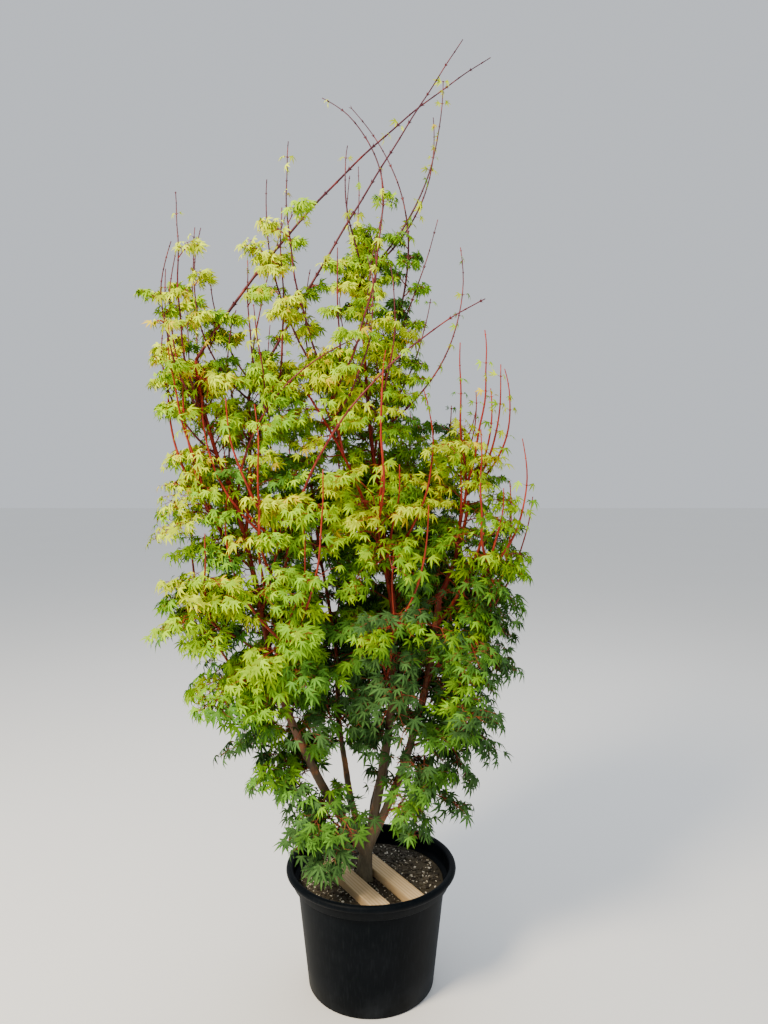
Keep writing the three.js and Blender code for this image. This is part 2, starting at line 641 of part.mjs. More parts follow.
// A twig stands out from the stem as far as the space allows.
function tryTwig(mass, base, way, angle) {
  const along = sideOf(way).applyAxisAngle(way, angle).addScaledVector(way, TWIG_LEAN).normalize();
  for (const share of TWIG_SHARES) {
    const tip = base.clone().addScaledVector(along, share * Math.min(...mass.reach));
    if (scaledDistance(mass, tip) > TWIG_EDGE || !inSpace(mass, tip)) continue;
    const solid = tube([base, tip], [0, 1], TWIG_SIDES,
      (at) => TWIG_RADIUS[0] + (TWIG_RADIUS[1] - TWIG_RADIUS[0]) * at);
    if (isClear(solid, mass.name)) return { solid, tip, along };
  }
  return null;
}

// Twigs spiral up the part of the stem that lies in the space, and carry leaves along with it.
function growTwigs(mass, stem, random) {
  const entry = evenShares(PATH_STEPS).find((share) => {
    return scaledDistance(mass, pointAt(stem.points, share)) < TWIG_EDGE;
  });
  const solids = [];
  const sites = [];
  for (let level = 0; level < TWIG_LEVELS; level += 1) {
    const share = entry + (LAST_TWIG_PLACE - entry) * ((level + 0.4) / TWIG_LEVELS);
    const base = pointAt(stem.points, share);
    const way = tangentAt(stem.points, share);
    sites.push({ root: base, axis: way, leaves: 0 });
    for (let attempt = 0; attempt < TWIG_TRIES; attempt += 1) {
      const turn = level * TWIG_SPIRAL + (attempt + random()) * TWIG_TRY_TURN;
      const twig = tryTwig(mass, base, way, turn * DEGREE);
      if (!twig) continue;
      solids.push(twig.solid);
      for (const place of LEAF_PLACES) {
        sites.push({ root: base.clone().lerp(twig.tip, place), axis: twig.along, leaves: 0 });
      }
      break;
    }
  }
  const top = pointAt(stem.points, STEM_LEAF_PLACE);
  sites.push({ root: top, axis: tangentAt(stem.points, STEM_LEAF_PLACE), leaves: 0 });
  return { solids, sites };
}

function makeMass(mass, stem, seed) {
  const random = seededRandom(seed);
  const centre = new THREE.Vector3(...mass.centre);
  const { solids, sites } = growTwigs(mass, stem, random);
  const wood = [stem.solid, ...solids];
  const leaves = [];
  const wanted = mass.leaves ?? LEAVES_IN_A_MASS;
  for (let round = 0; round < LEAF_TRIES; round += 1) {
    const most = 1 + Math.floor(round / (LEAF_TRIES / 2));
    for (const site of sites) {
      if (leaves.length >= wanted || site.leaves >= most) continue;
      const scatter = new THREE.Vector3(random() - 0.5, random() - 0.5, 0);
      const outward = site.root.clone().sub(centre).addScaledVector(scatter, LEAF_SCATTER).setZ(0);
      const spread = Math.min(180, LEAF_FAN + LEAF_FAN_STEP * round);
      const length = mass.leaf ?? LEAF.length;
      const leaf = tryLeaf(LEAF, site, outward.normalize(), spread, length, random);
      if (!leaf || !leaf.corners.every((corner) => inSpace(mass, corner))) continue;
      const rivals = [...wood, ...leaves.map((other) => other.guard)];
      if (!rivals.every((rival) => leaf.guard.minGap(rival, 2) > LEAF_CLEARANCE)) continue;
      if (!isClear(leaf.solid, mass.name)) continue;
      leaves.push(leaf);
      site.leaves += 1;
    }
  }
  return [...wood, ...leaves.map((leaf) => leaf.solid)];
}

// Small leaves stand in opposite pairs along the outer part of a whip.
function dressShoot(shoot, seed) {
  const random = seededRandom(seed);
  const guards = [];
  for (let pair = 0; pair < shoot.pairs; pair += 1) {
    const place = (pair + random() * 0.3) / shoot.pairs;
    const share = FIRST_WHIP_LEAF + (LAST_WHIP_LEAF - FIRST_WHIP_LEAF) * place;
    const site = pointAt(shoot.points, share);
    const way = tangentAt(shoot.points, share);
    for (const turn of [0, 180]) {
      for (let attempt = 0; attempt < LEAF_TRIES; attempt += 1) {
        const out = sideOf(way).applyAxisAngle(way, (turn + 90 * pair + 60 * random()) * DEGREE);
        const length = WHIP_LEAF.length * (1.25 - 0.6 * share);
        const leaf = tryLeaf(WHIP_LEAF, { root: site, axis: way }, out, 60, length, random);
        if (!leaf) continue;
        const rivals = [shoot.parts[0], ...guards];
        if (!rivals.every((rival) => leaf.guard.minGap(rival, 2) > GAP)) continue;
        if (!isClear(leaf.solid, shoot.name)) continue;
        guards.push(leaf.guard);
        shoot.parts.push(leaf.solid);
        rememberObstacle(leaf.solid, shoot.name);
        break;
      }
    }
  }
}

function fuse(parts) {
  return cleanBody(wasm.Manifold.union(parts));
}

function barkColour(limb) {
  if (!limb.parent) return BARK_COLOURS.old;
  return limb.parent === 'trunk' ? BARK_COLOURS.stem : BARK_COLOURS.coral;
}

addPiece('pot', makePot(), 0x17191b, 0.42);
addPiece('compost', makeCompost(), 0x3a2a1e, 0.95);
for (const batten of BATTENS) addPiece(batten.name, makeBatten(batten), 0xc9a673, 0.75);

makeLimbs();
for (const limb of limbs.values()) addPiece(limb.name, limb.solid, barkColour(limb), 0.7);

const shoots = makeShoots();
const stems = MASSES.map((mass, i) => {
  const stem = massStem(mass, seededRandom(500 + i));
  rememberObstacle(stem.solid, mass.name);
  return stem;
});
for (const [i, shoot] of shoots.entries()) {
  dressShoot(shoot, 900 + i);
  addPiece(shoot.name, fuse(shoot.parts), BARK_COLOURS.whip, 0.55);
}
for (const [i, mass] of MASSES.entries()) {
  const parts = makeMass(mass, stems[i], 100 + i);
  for (const part of parts.slice(1)) rememberObstacle(part, mass.name);
  addPiece(mass.name, fuse(parts), LEAF_COLOURS[mass.tone], 0.55);
}

export default model;
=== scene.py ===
"""Potted japanese maple: the finished looks of a young coral-barked tree in a black nursery pot.

Sizes in the tables are millimetres, as they were measured; every mesh is made in metres.
"""

from __future__ import annotations

import json
import logging
import math
from dataclasses import dataclass, field
from enum import Enum

import bpy
import numpy as np
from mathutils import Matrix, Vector, noise

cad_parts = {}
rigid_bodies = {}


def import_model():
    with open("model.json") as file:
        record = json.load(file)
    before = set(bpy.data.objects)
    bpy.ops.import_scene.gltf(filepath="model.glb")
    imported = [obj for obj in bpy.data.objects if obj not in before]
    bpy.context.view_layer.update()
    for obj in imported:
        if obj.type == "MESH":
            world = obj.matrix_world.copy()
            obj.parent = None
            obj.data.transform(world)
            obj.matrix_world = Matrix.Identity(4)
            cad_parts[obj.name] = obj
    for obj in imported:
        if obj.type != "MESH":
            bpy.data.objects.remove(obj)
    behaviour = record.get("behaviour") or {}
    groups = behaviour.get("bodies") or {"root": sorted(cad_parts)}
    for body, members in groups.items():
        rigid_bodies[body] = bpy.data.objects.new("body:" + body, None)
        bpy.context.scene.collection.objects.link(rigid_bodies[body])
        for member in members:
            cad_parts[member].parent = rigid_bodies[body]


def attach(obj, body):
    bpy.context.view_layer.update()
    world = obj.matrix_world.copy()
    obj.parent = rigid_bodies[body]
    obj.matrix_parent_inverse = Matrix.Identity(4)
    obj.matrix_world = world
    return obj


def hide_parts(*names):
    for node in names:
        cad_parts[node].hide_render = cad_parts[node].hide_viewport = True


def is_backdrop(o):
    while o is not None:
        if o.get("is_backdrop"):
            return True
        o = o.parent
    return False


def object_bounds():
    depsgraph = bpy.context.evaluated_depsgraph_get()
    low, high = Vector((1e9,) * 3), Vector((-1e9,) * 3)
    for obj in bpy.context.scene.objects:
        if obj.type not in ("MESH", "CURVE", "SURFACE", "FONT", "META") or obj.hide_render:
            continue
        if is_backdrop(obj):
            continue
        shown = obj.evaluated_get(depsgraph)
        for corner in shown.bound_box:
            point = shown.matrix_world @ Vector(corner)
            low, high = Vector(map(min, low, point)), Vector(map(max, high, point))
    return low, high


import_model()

MM = 0.001
UP = np.array([0.0, 0.0, 1.0])
BODY = "root"
# A pair is two values or a range; a triple is a value along X, Y and Z.
Pair = tuple[float, float]
Triple = tuple[float, float, float]
LOG = logging.getLogger("maple")


# Numbers, directions and paths


class Seeded:
    """Seeded numbers between 0 and 1, the same on every run."""

    def __init__(self, seed: int) -> None:
        """Start the row of numbers at a seed."""
        self.state = seed & 0xFFFFFFFF

    def number(self) -> float:
        """Give the next number.

        Returns:
            A number from 0 up to 1.
        """
        self.state = (self.state + 0x6D2B79F5) & 0xFFFFFFFF
        state = self.state
        mixed = ((state ^ (state >> 15)) * (1 | state)) & 0xFFFFFFFF
        stirred = ((mixed ^ (mixed >> 7)) * (61 | mixed)) & 0xFFFFFFFF
        mixed = ((mixed + stirred) & 0xFFFFFFFF) ^ mixed
        return (mixed ^ (mixed >> 14)) / 4294967296

    def between(self, low: float, high: float) -> float:
        """Give the next number, from low up to high."""
        return low + (high - low) * self.number()

    def vector(self) -> np.ndarray:
        """Give three numbers from -1 to 1."""
        return np.array([self.between(-1, 1) for _ in range(3)])


def unit(vector: np.ndarray) -> np.ndarray:
    """Scale a vector to length 1."""
    return vector / max(float(np.linalg.norm(vector)), 1e-9)


def direction(bearing: float, rise: float) -> np.ndarray:
    """Point along a bearing, tilted up.

    Args:
        bearing: The bearing in degrees, from X towards Y.
        rise: The tilt above level in degrees.

    Returns:
        The direction, of length 1.
    """
    flat = math.cos(math.radians(rise))
    turned = math.radians(bearing)
    return np.array([flat * math.cos(turned), flat * math.sin(turned), math.sin(math.radians(rise))])


def flattened(vector: np.ndarray) -> np.ndarray:
    """Give the level part of a vector, at length 1."""
    return unit(np.array([vector[0], vector[1], 0.0]))


def side_of(way: np.ndarray) -> np.ndarray:
    """Give a direction square to a way."""
    other = UP if abs(way[2]) < 0.9 else np.array([1.0, 0.0, 0.0])
    return unit(np.cross(way, other))


def turned_about(vector: np.ndarray, axis: np.ndarray, degrees: float) -> np.ndarray:
    """Turn a vector about an axis of length 1.

    Args:
        vector: What is turned.
        axis: The axis, of length 1.
        degrees: How far, by the right-hand rule.

    Returns:
        The turned vector.
    """
    angle = math.radians(degrees)
    across = np.cross(axis, vector)
    along = axis * float(axis @ vector) * (1 - math.cos(angle))
    return vector * math.cos(angle) + across * math.sin(angle) + along


@dataclass
class Path:
    """A line of points, read by the share of its length."""

    points: np.ndarray

    def __post_init__(self) -> None:
        """Measure the line."""
        steps = np.linalg.norm(np.diff(self.points, axis=0), axis=1)
        self.travel = np.concatenate([[0.0], np.cumsum(steps)])

    @property
    def length(self) -> float:
        """Give the line's length in mm."""
        return float(self.travel[-1])

    def at(self, share: float) -> np.ndarray:
        """Give the point at a share of the length."""
        place = min(max(share, 0.0), 1.0) * self.length
        return np.array([np.interp(place, self.travel, self.points[:, axis]) for axis in range(3)])

    def way(self, share: float) -> np.ndarray:
        """Give the direction of travel at a share of the length."""
        return unit(self.at(min(share + 0.01, 1.0)) - self.at(max(share - 0.01, 0.0)))


# Sizes of the tree: limbs, whips and masses of foliage


class Tone(Enum):
    """How much light a mass of foliage gets, from deep shade to the young tips."""

    SHADE = -0.55
    MIDDLE = -0.12
    SUNLIT = 0.36
    YOUNG = 0.62


@dataclass(frozen=True)
class Arc:
    """A limb or whip: an arc that leaves its parent and turns while it rises."""

    name: str
    parent: str
    at: float
    bearing: float
    turn: float
    rise: float
    rise_end: float
    length: float
    radius: Pair


@dataclass(frozen=True)
class Mass:
    """A mass of foliage: an egg-shaped space round a centre, fed by one stem from its host.

    Its name stands after "foliage_" in its solid's name. Its twigs leave the stem squarely where
    lean is 0 and rise with it where lean is above 1. Leaves have their length in mm, and twigs and
    shoots their number. The space is filled to the share given.
    """

    name: str
    host: str
    at: float
    centre: Triple
    reach: Triple
    tone: Tone
    leaf: float = 41.0
    twigs: int = 15
    lean: float = 0.35
    shoots: int = 3
    fill: float = 1.0


TRUNK_FOOT = (-22.0, -20.0, 310.0)
# How far a leaf may pass the solids' box, in mm.
LEAF_SPARE = 14.0

LIMBS = (
    Arc("trunk", "", 0, 53, 3, 82, 78, 95, (24, 18)),
    Arc("left_bough", "trunk", 0.8, -159, 4, 55, 74, 660, (14.5, 9.5)),
    Arc("centre_stem", "trunk", 0.95, 30, -13, 73, 94, 760, (15, 8)),
    Arc("right_stem", "trunk", 0.86, 6, 6, 62, 86, 790, (13, 10)),
    Arc("middle_stem", "trunk", 0.86, 140, -50, 62, 74, 580, (11, 6.5)),
    Arc("rear_stem", "trunk", 0.92, 75, -27, 54, 76, 580, (11, 6.5)),
    Arc("left_outer", "left_bough", 0.985, -164, 3, 81, 75, 500, (9, 6)),
    Arc("left_low", "left_bough", 0.93, -138, -28, 63, 25, 215, (5, 3)),
    Arc("left_tip", "left_outer", 0.985, -171, -14, 65, 85, 365, (5.8, 4.2)),
    Arc("left_inner", "left_outer", 0.72, 53, 71, 80, 85, 395, (5, 4)),
    Arc("middle_top", "middle_stem", 0.985, 146, 116, 81, 79, 570, (6.2, 3.2)),
    Arc("rear_top", "rear_stem", 0.985, 28, 36, 74, 104, 595, (6.2, 3.2)),
    Arc("rear_right", "rear_stem", 0.8, 22, -38, 48, 76, 390, (5, 3)),
    Arc("upper_centre", "centre_stem", 0.985, -134, -109, 79, 89, 970, (7.5, 3.4)),
    Arc("upper_back", "centre_stem", 0.93, 118, 45, 72, 105, 835, (5.5, 3.2)),
    Arc("upper_front", "centre_stem", 0.86, -114, -62, 76, 56, 770, (5.5, 2.6)),
    Arc("right_fork", "right_stem", 0.88, -21, 13, 51, 76, 315, (6.5, 3.6)),
    Arc("right_top", "right_stem", 0.985, 12, 36, 62, 78, 305, (8.5, 4)),
)

WHIPS = (
    Arc("whip_long_left", "left_tip", 1, 9, 16, 58, 36, 1265, (4.4, 1.4)),
    Arc("whip_long_inner", "left_inner", 1, 0, 18, 61, 57, 1175, (4.2, 1.4)),
    Arc("whip_cross_low", "left_bough", 0.86, -84, 109, 93, 27, 1295, (4.6, 1.5)),
    Arc("whip_cross_high", "left_outer", 0.9, -58, 75, 79, 24, 580, (3.4, 1.4)),
    Arc("whip_crown_left", "upper_centre", 1, -167, -16, 127, 26, 550, (3.2, 1.2)),
    Arc("whip_crown_right", "upper_back", 1, 133, 59, 115, 44, 680, (3.2, 1.2)),
    Arc("whip_side_right", "upper_back", 0.9, -17, 6, 64, 75, 420, (2.6, 1.2)),
    Arc("whip_upright_left", "left_inner", 0.45, 120, -130, 84, 72, 745, (3.2, 1.3)),
)

MASSES = (
    Mass("skirt_front", "left_bough", 0.14, (-115, -165, 530), (150, 105, 90), Tone.SHADE, 45, 13, 0.35, 0),
    Mass("skirt_left", "left_bough", 0.5, (-250, -45, 610), (110, 125, 130), Tone.SHADE, 45, 10, 0.35, 0),
    Mass("skirt_middle", "middle_stem", 0.55, (-125, 10, 760), (100, 110, 95), Tone.SHADE, 45, 9, 0.35, 0),
    Mass("skirt_right", "right_stem", 0.16, (145, -100, 565), (140, 110, 110), Tone.SHADE, 45, 10, 0.35, 0),
    Mass("side_right_low", "right_stem", 0.42, (245, -45, 750), (125, 125, 110),
         Tone.SHADE, 45, 11, 0.35, 0),
    Mass("left_low", "left_bough", 0.88, (-350, -130, 875), (135, 135, 125), Tone.MIDDLE, 43, 13, 0.35, 1),
    Mass("left_bright", "left_low", 1, (-455, -185, 1115), (130, 130, 130), Tone.SUNLIT),
    Mass("left_front", "left_bough", 0.95, (-215, -215, 1015), (140, 120, 160), Tone.SUNLIT),
    Mass("centre_front", "centre_stem", 0.62, (25, -145, 955), (155, 130, 170), Tone.SHADE, 42, 14, 0.35, 2),
    Mass("right_low", "right_stem", 0.72, (260, -20, 945), (140, 140, 130), Tone.MIDDLE),
    Mass("right_middle", "right_fork", 0.45, (340, -20, 1165), (130, 130, 130), Tone.MIDDLE),
    Mass("rear_left", "middle_stem", 0.9, (-185, 170, 920), (145, 140, 160), Tone.SHADE, 46, 16),
    Mass("rear_middle", "rear_stem", 0.9, (30, 275, 960), (145, 130, 160), Tone.SHADE, 46, 16),
    Mass("rear_right", "rear_right", 0.6, (255, 215, 1030), (140, 140, 160), Tone.MIDDLE, 45, 16),
    Mass("left_outer", "left_outer", 0.55, (-460, -130, 1370), (130, 140, 150), Tone.SUNLIT, 35, 16, 0.7, 4),
    Mass("left_inner", "left_outer", 0.3, (-235, -195, 1310), (140, 130, 160), Tone.SUNLIT, 35, 16, 0.7, 5),
    Mass("centre_high", "upper_centre", 0.05, (15, -140, 1310), (155, 130, 180),
         Tone.SUNLIT, 35, 16, 0.7, 5),
    Mass("right_high", "right_top", 0.4, (275, 20, 1430), (140, 140, 160), Tone.SUNLIT, 35, 16, 0.8, 6),
    Mass("rear_left_high", "middle_top", 0.5, (-210, 140, 1330), (150, 145, 190),
         Tone.MIDDLE, 41, 17, 0.7, 4),
    Mass("rear_middle_high", "upper_back", 0.25, (10, 205, 1360), (140, 130, 190),
         Tone.MIDDLE, 41, 17, 0.7, 4),
    Mass("rear_right_high", "rear_top", 0.55, (190, 245, 1400), (135, 130, 170),
         Tone.MIDDLE, 40, 16, 0.7, 4),
    Mass("top_left", "left_tip", 0.15, (-450, -150, 1640), (120, 125, 150), Tone.YOUNG, 30, 18, 1.3, 7),
    Mass("top_inner", "left_inner", 0.35, (-270, -90, 1650), (130, 130, 165), Tone.SUNLIT, 30, 18, 1.2, 7),
    Mass("top_front", "upper_front", 0.7, (-105, -120, 1700), (120, 120, 155), Tone.YOUNG, 30, 18, 1.3, 7),
    Mass("column_low", "upper_centre", 0.42, (45, 10, 1760), (130, 125, 170), Tone.SUNLIT, 30, 19, 1.4, 5),
    Mass("column_top", "upper_centre", 0.82, (-20, 20, 2070), (115, 110, 160),
         Tone.YOUNG, 30, 20, 1.6, 5, 0.72),
)


# Meshes gathered from arrays


@dataclass
class Gathered:
    """Many small shapes gathered as arrays in mm, to become one mesh in metres."""

    places: list[np.ndarray] = field(default_factory=list)
    corners: list[np.ndarray] = field(default_factory=list)
    paints: list[np.ndarray] = field(default_factory=list)
    count: int = 0

    def add(self, places: np.ndarray, corners: np.ndarray, paint: np.ndarray | None = None) -> None:
        """Add one shape.

        Args:
            places: Its vertices, n by 3, in mm.
            corners: Its triangles, m by 3, as numbers of its own vertices.
            paint: Three values for each vertex, kept in the attribute "paint".
        """
        self.places.append(places)
        self.corners.append(corners + self.count)
        self.paints.append(np.zeros((len(places), 3)) if paint is None else paint)
        self.count += len(places)

    def to_object(self, name: str, material: bpy.types.Material) -> bpy.types.Object:
        """Make one smooth-shaded mesh object of all the shapes.

        Args:
            name: The object's name.
            material: Its finish.

        Returns:
            The new object, at the origin, linked to the scene.
        """
        places = np.concatenate(self.places) * MM
        corners = np.concatenate(self.corners).astype(np.int32)
        paint = np.concatenate(self.paints)
        mesh = bpy.data.meshes.new(name)
        mesh.vertices.add(len(places))
        mesh.vertices.foreach_set("co", places.astype(np.float32).ravel())
        mesh.loops.add(corners.size)
        mesh.loops.foreach_set("vertex_index", corners.ravel())
        mesh.polygons.add(len(corners))
        mesh.polygons.foreach_set("loop_start", np.arange(0, corners.size, 3, dtype=np.int32))
        mesh.polygons.foreach_set("use_smooth", np.ones(len(corners), dtype=bool))
        mesh.update(calc_edges=True)
        attribute = mesh.attributes.new("paint", "FLOAT_COLOR", "POINT")
        colours = np.column_stack([paint, np.ones(len(paint))]).astype(np.float32)
        attribute.data.foreach_set("color", colours.ravel())
        mesh.materials.append(material)
        made = bpy.data.objects.new(name, mesh)
        bpy.context.scene.collection.objects.link(made)
        return made


def tube(path: Path, shares: np.ndarray, radii: np.ndarray, sides: int) -> tuple[np.ndarray, np.ndarray]:
    """Wrap a closed round skin about a path.

    Args:
        path: The middle line.
        shares: Where the rings stand, as shares of the path.
        radii: The radius of each ring.
        sides: How many sides each ring has.

    Returns:
        Vertices and triangles.
    """
    centres = np.array([path.at(share) for share in shares])
    ways = np.gradient(centres, axis=0)
    ways /= np.maximum(np.linalg.norm(ways, axis=1, keepdims=True), 1e-9)
    side = side_of(ways[0])
    turns = np.linspace(0, 2 * math.pi, sides, endpoint=False)
    rings = []
    for centre, way, radius in zip(centres, ways, radii):
        side = unit(side - way * float(side @ way))
        cross = np.cross(way, side)
        rings.append(centre + radius * (np.outer(np.cos(turns), side) + np.outer(np.sin(turns), cross)))
    places = np.concatenate([*rings, centres[:1], centres[-1:]])
    near = np.arange(sides)
    far = (near + 1) % sides
    corners = []
    for ring in range(len(shares) - 1):
        low, high = ring * sides, (ring + 1) * sides
        corners.append(np.column_stack([low + near, low + far, high + far]))
        corners.append(np.column_stack([low + near, high + far, high + near]))
    foot, tip = len(places) - 2, len(places) - 1
    last = (len(shares) - 1) * sides
    corners.append(np.column_stack([far, near, np.full(sides, foot)]))
    corners.append(np.column_stack([last + near, last + far, np.full(sides, tip)]))
    return places, np.concatenate(corners)


def roughen(item: bpy.types.Object, depth: float, grain: float, stretch: float) -> None:
    """Raise and sink a surface by noise, as bark or soil does.

    Args:
        item: The object whose mesh is changed.
        depth: The most that a vertex moves along its normal, in mm.
        grain: The size of one lump, in mm.
        stretch: How many times longer than wide a lump is along Z.
    """
    mesh = item.data
    normals = [vertex.normal.copy() for vertex in mesh.vertices]
    scale = 1 / (grain * MM)
    for vertex, normal in zip(mesh.vertices, normals):
        spot = Vector((vertex.co.x * scale, vertex.co.y * scale, vertex.co.z * scale / stretch))
        height = noise.fractal(spot, 0.9, 2.1, 3)
        vertex.co += normal * height * depth * MM
    mesh.update()


# Finishes


def linear(colour: str) -> tuple[float, float, float, float]:
    """Turn an sRGB hex colour to linear light.

    Args:
        colour: Six hex digits, such as "2f5f1d".

    Returns:
        Red, green, blue and an alpha of 1.
    """
    parts = [int(colour[start:start + 2], 16) / 255 for start in (0, 2, 4)]
    light = [part / 12.92 if part <= 0.04045 else ((part + 0.055) / 1.055) ** 2.4 for part in parts]
    return (light[0], light[1], light[2], 1.0)


def per_metre(size_mm: float) -> float:
    """Give the scale of a pattern whose repeat or lump is this many mm wide."""
    return 1000 / size_mm


def add_node(tree: bpy.types.NodeTree, kind: str, settings: dict | None = None,
             links: dict | None = None) -> bpy.types.Node:
    """Add a node with its settings and links.

    Args:
        tree: The node tree.
        kind: The shader node's type name, without its first word.
        settings: Attribute names, or input sockets by name or number, and their values: a
            colour is sRGB hex, and "stops" are a ramp's places with their colours.
        links: Input sockets, by name or number, and what feeds each: an output socket, or a
            node for its first output.

    Returns:
        The new node.
    """
    node = tree.nodes.new(f"ShaderNode{kind}")
    for key, value in (settings or {}).items():
        if key == "stops":
            first, *between, last = value
            for element, (place, colour) in zip(node.color_ramp.elements, (first, last)):
                element.position, element.color = place, linear(colour)
            for place, colour in between:
                node.color_ramp.elements.new(place).color = linear(colour)
        elif isinstance(key, str) and hasattr(node, key):
            setattr(node, key, value)
        else:
            node.inputs[key].default_value = linear(value) if isinstance(value, str) else value
    for key, source in (links or {}).items():
        socket = source.outputs[0] if isinstance(source, bpy.types.Node) else source
        tree.links.new(socket, node.inputs[key])
    return node


@dataclass(frozen=True)
class Finish:
    """A surface finish: an opaque shader whose colour comes from the subclass.

    In a colour mix, socket 0 is the share, 6 and 7 are the two colours, and output 2 is the mix.
    """

    name: str
    roughness: float = 0.5
    specular: float = 0.5

    def paint(self, tree: bpy.types.NodeTree) -> dict:
        """Give the sockets or nodes that feed the shader, by the shader's input name."""
        raise NotImplementedError

    def build(self) -> bpy.types.Material:
        """Make the material, once, and give it.

        Returns:
            The material of this name.
        """
        known = bpy.data.materials.get(self.name)
        if known:
            return known
        material = bpy.data.materials.new(self.name)
        material.use_nodes = True
        tree = material.node_tree
        tree.nodes.clear()
        links = self.paint(tree)
        settings = {"Roughness": self.roughness, "Specular IOR Level": self.specular}
        for key in links:
            settings.pop(key, None)
        shader = add_node(tree, "BsdfPrincipled", settings, links)
        add_node(tree, "OutputMaterial", {}, {"Surface": shader})
        return material


@dataclass(frozen=True, kw_only=True)
class LeafFinish(Finish):
    """Soft, slightly waxy leaf blade: paler veins along each lobe and warmer lobe tips."""

    blade: str
    vein: str
    tip: str
    shades: Pair = (0.55, 1.3)

    def paint(self, tree: bpy.types.NodeTree) -> dict:
        """Colour the blade from its own attribute: vein, distance out and the leaf's own shade.

        Args:
            tree: The node tree.

        Returns:
            What feeds the base colour.
        """
        paint = add_node(tree, "Attribute", {"attribute_name": "paint"})
        split = add_node(tree, "SeparateColor", {}, {"Color": paint})
        vein = add_node(tree, "MapRange", {"From Min": 0.72, "From Max": 1.0, "To Max": 0.55},
                        {"Value": split.outputs[0]})
        tip = add_node(tree, "MapRange", {"From Min": 0.45, "From Max": 1.05, "To Max": 0.6},
                       {"Value": split.outputs[1]})
        shade = add_node(tree, "MapRange", {"To Min": self.shades[0], "To Max": self.shades[1]},
                         {"Value": split.outputs[2]})
        veined = add_node(tree, "Mix", {"data_type": "RGBA", 6: self.blade, 7: self.vein}, {0: vein})
        tipped = add_node(tree, "Mix", {"data_type": "RGBA", 7: self.tip}, {0: tip, 6: veined.outputs[2]})
        shaded = add_node(tree, "HueSaturation", {}, {"Color": tipped.outputs[2], "Value": shade})
        return {"Base Color": shaded}


@dataclass(frozen=True, kw_only=True)
class BarkFinish(Finish):
    """Young bark: its colour changes with height, with painted sunlit patches, dark flecks and streaks."""

    stops: tuple[tuple[float, str], ...]
    low: float
    high: float
    # The sunny patches are painted sunlight: a lighter, warmer colour mixed in by noise.
    sunny: str
    sunny_share: float
    fleck: str
    # The streaks of young bark are too fine to show from here, so they are drawn coarser.
    grain_mm: float
    relief_mm: float
    sway_mm: float = 70.0
    sway: float = 0.22
    sunny_mm: float = 38.0
    streak: float = 4.5

    def paint(self, tree: bpy.types.NodeTree) -> dict:
        """Colour by height, add sunlit patches and dark flecks, and raise a streaky relief.

        Args:
            tree: The node tree.

        Returns:
            What feeds the base colour and the normal.
        """
        place = add_node(tree, "TexCoord").outputs["Object"]
        split = add_node(tree, "SeparateXYZ", {}, {"Vector": place})
        sway = add_node(tree, "TexNoise", {"Scale": per_metre(self.sway_mm), "Detail": 3.0},
                        {"Vector": place})
        raised = add_node(tree, "Math", {"operation": "MULTIPLY_ADD", 1: self.sway},
                          {0: sway, 2: split.outputs["Z"]})
        height = add_node(tree, "MapRange",
                          {"From Min": self.low + self.sway / 2, "From Max": self.high + self.sway / 2},
                          {"Value": raised})
        base = add_node(tree, "ValToRGB", {"stops": self.stops}, {"Fac": height})
        patch = add_node(tree, "TexNoise", {"Scale": per_metre(self.sunny_mm), "Detail": 2.0},
                         {"Vector": place})
        patchy = add_node(tree, "MapRange",
                          {"From Min": 0.52, "From Max": 0.66, "To Max": self.sunny_share},
                          {"Value": patch})
        sunny = add_node(tree, "Mix", {"data_type": "RGBA", 7: self.sunny}, {0: patchy, 6: base})
        drawn = add_node(tree, "Mapping", {"Scale": (1, 1, 1 / self.streak)}, {"Vector": place})
        streak = add_node(tree, "TexNoise",
                          {"Scale": per_metre(self.grain_mm), "Detail": 4.0, "Roughness": 0.65},
                          {"Vector": drawn})
        flecked = add_node(tree, "MapRange", {"From Min": 0.42, "From Max": 0.7, "To Max": 0.6},
                           {"Value": streak})
        colour = add_node(tree, "Mix", {"data_type": "RGBA", 7: self.fleck},
                          {0: flecked, 6: sunny.outputs[2]})
        relief = add_node(tree, "Bump", {"Distance": self.relief_mm * MM}, {"Height": streak})
        return {"Base Color": colour.outputs[2], "Normal": relief}


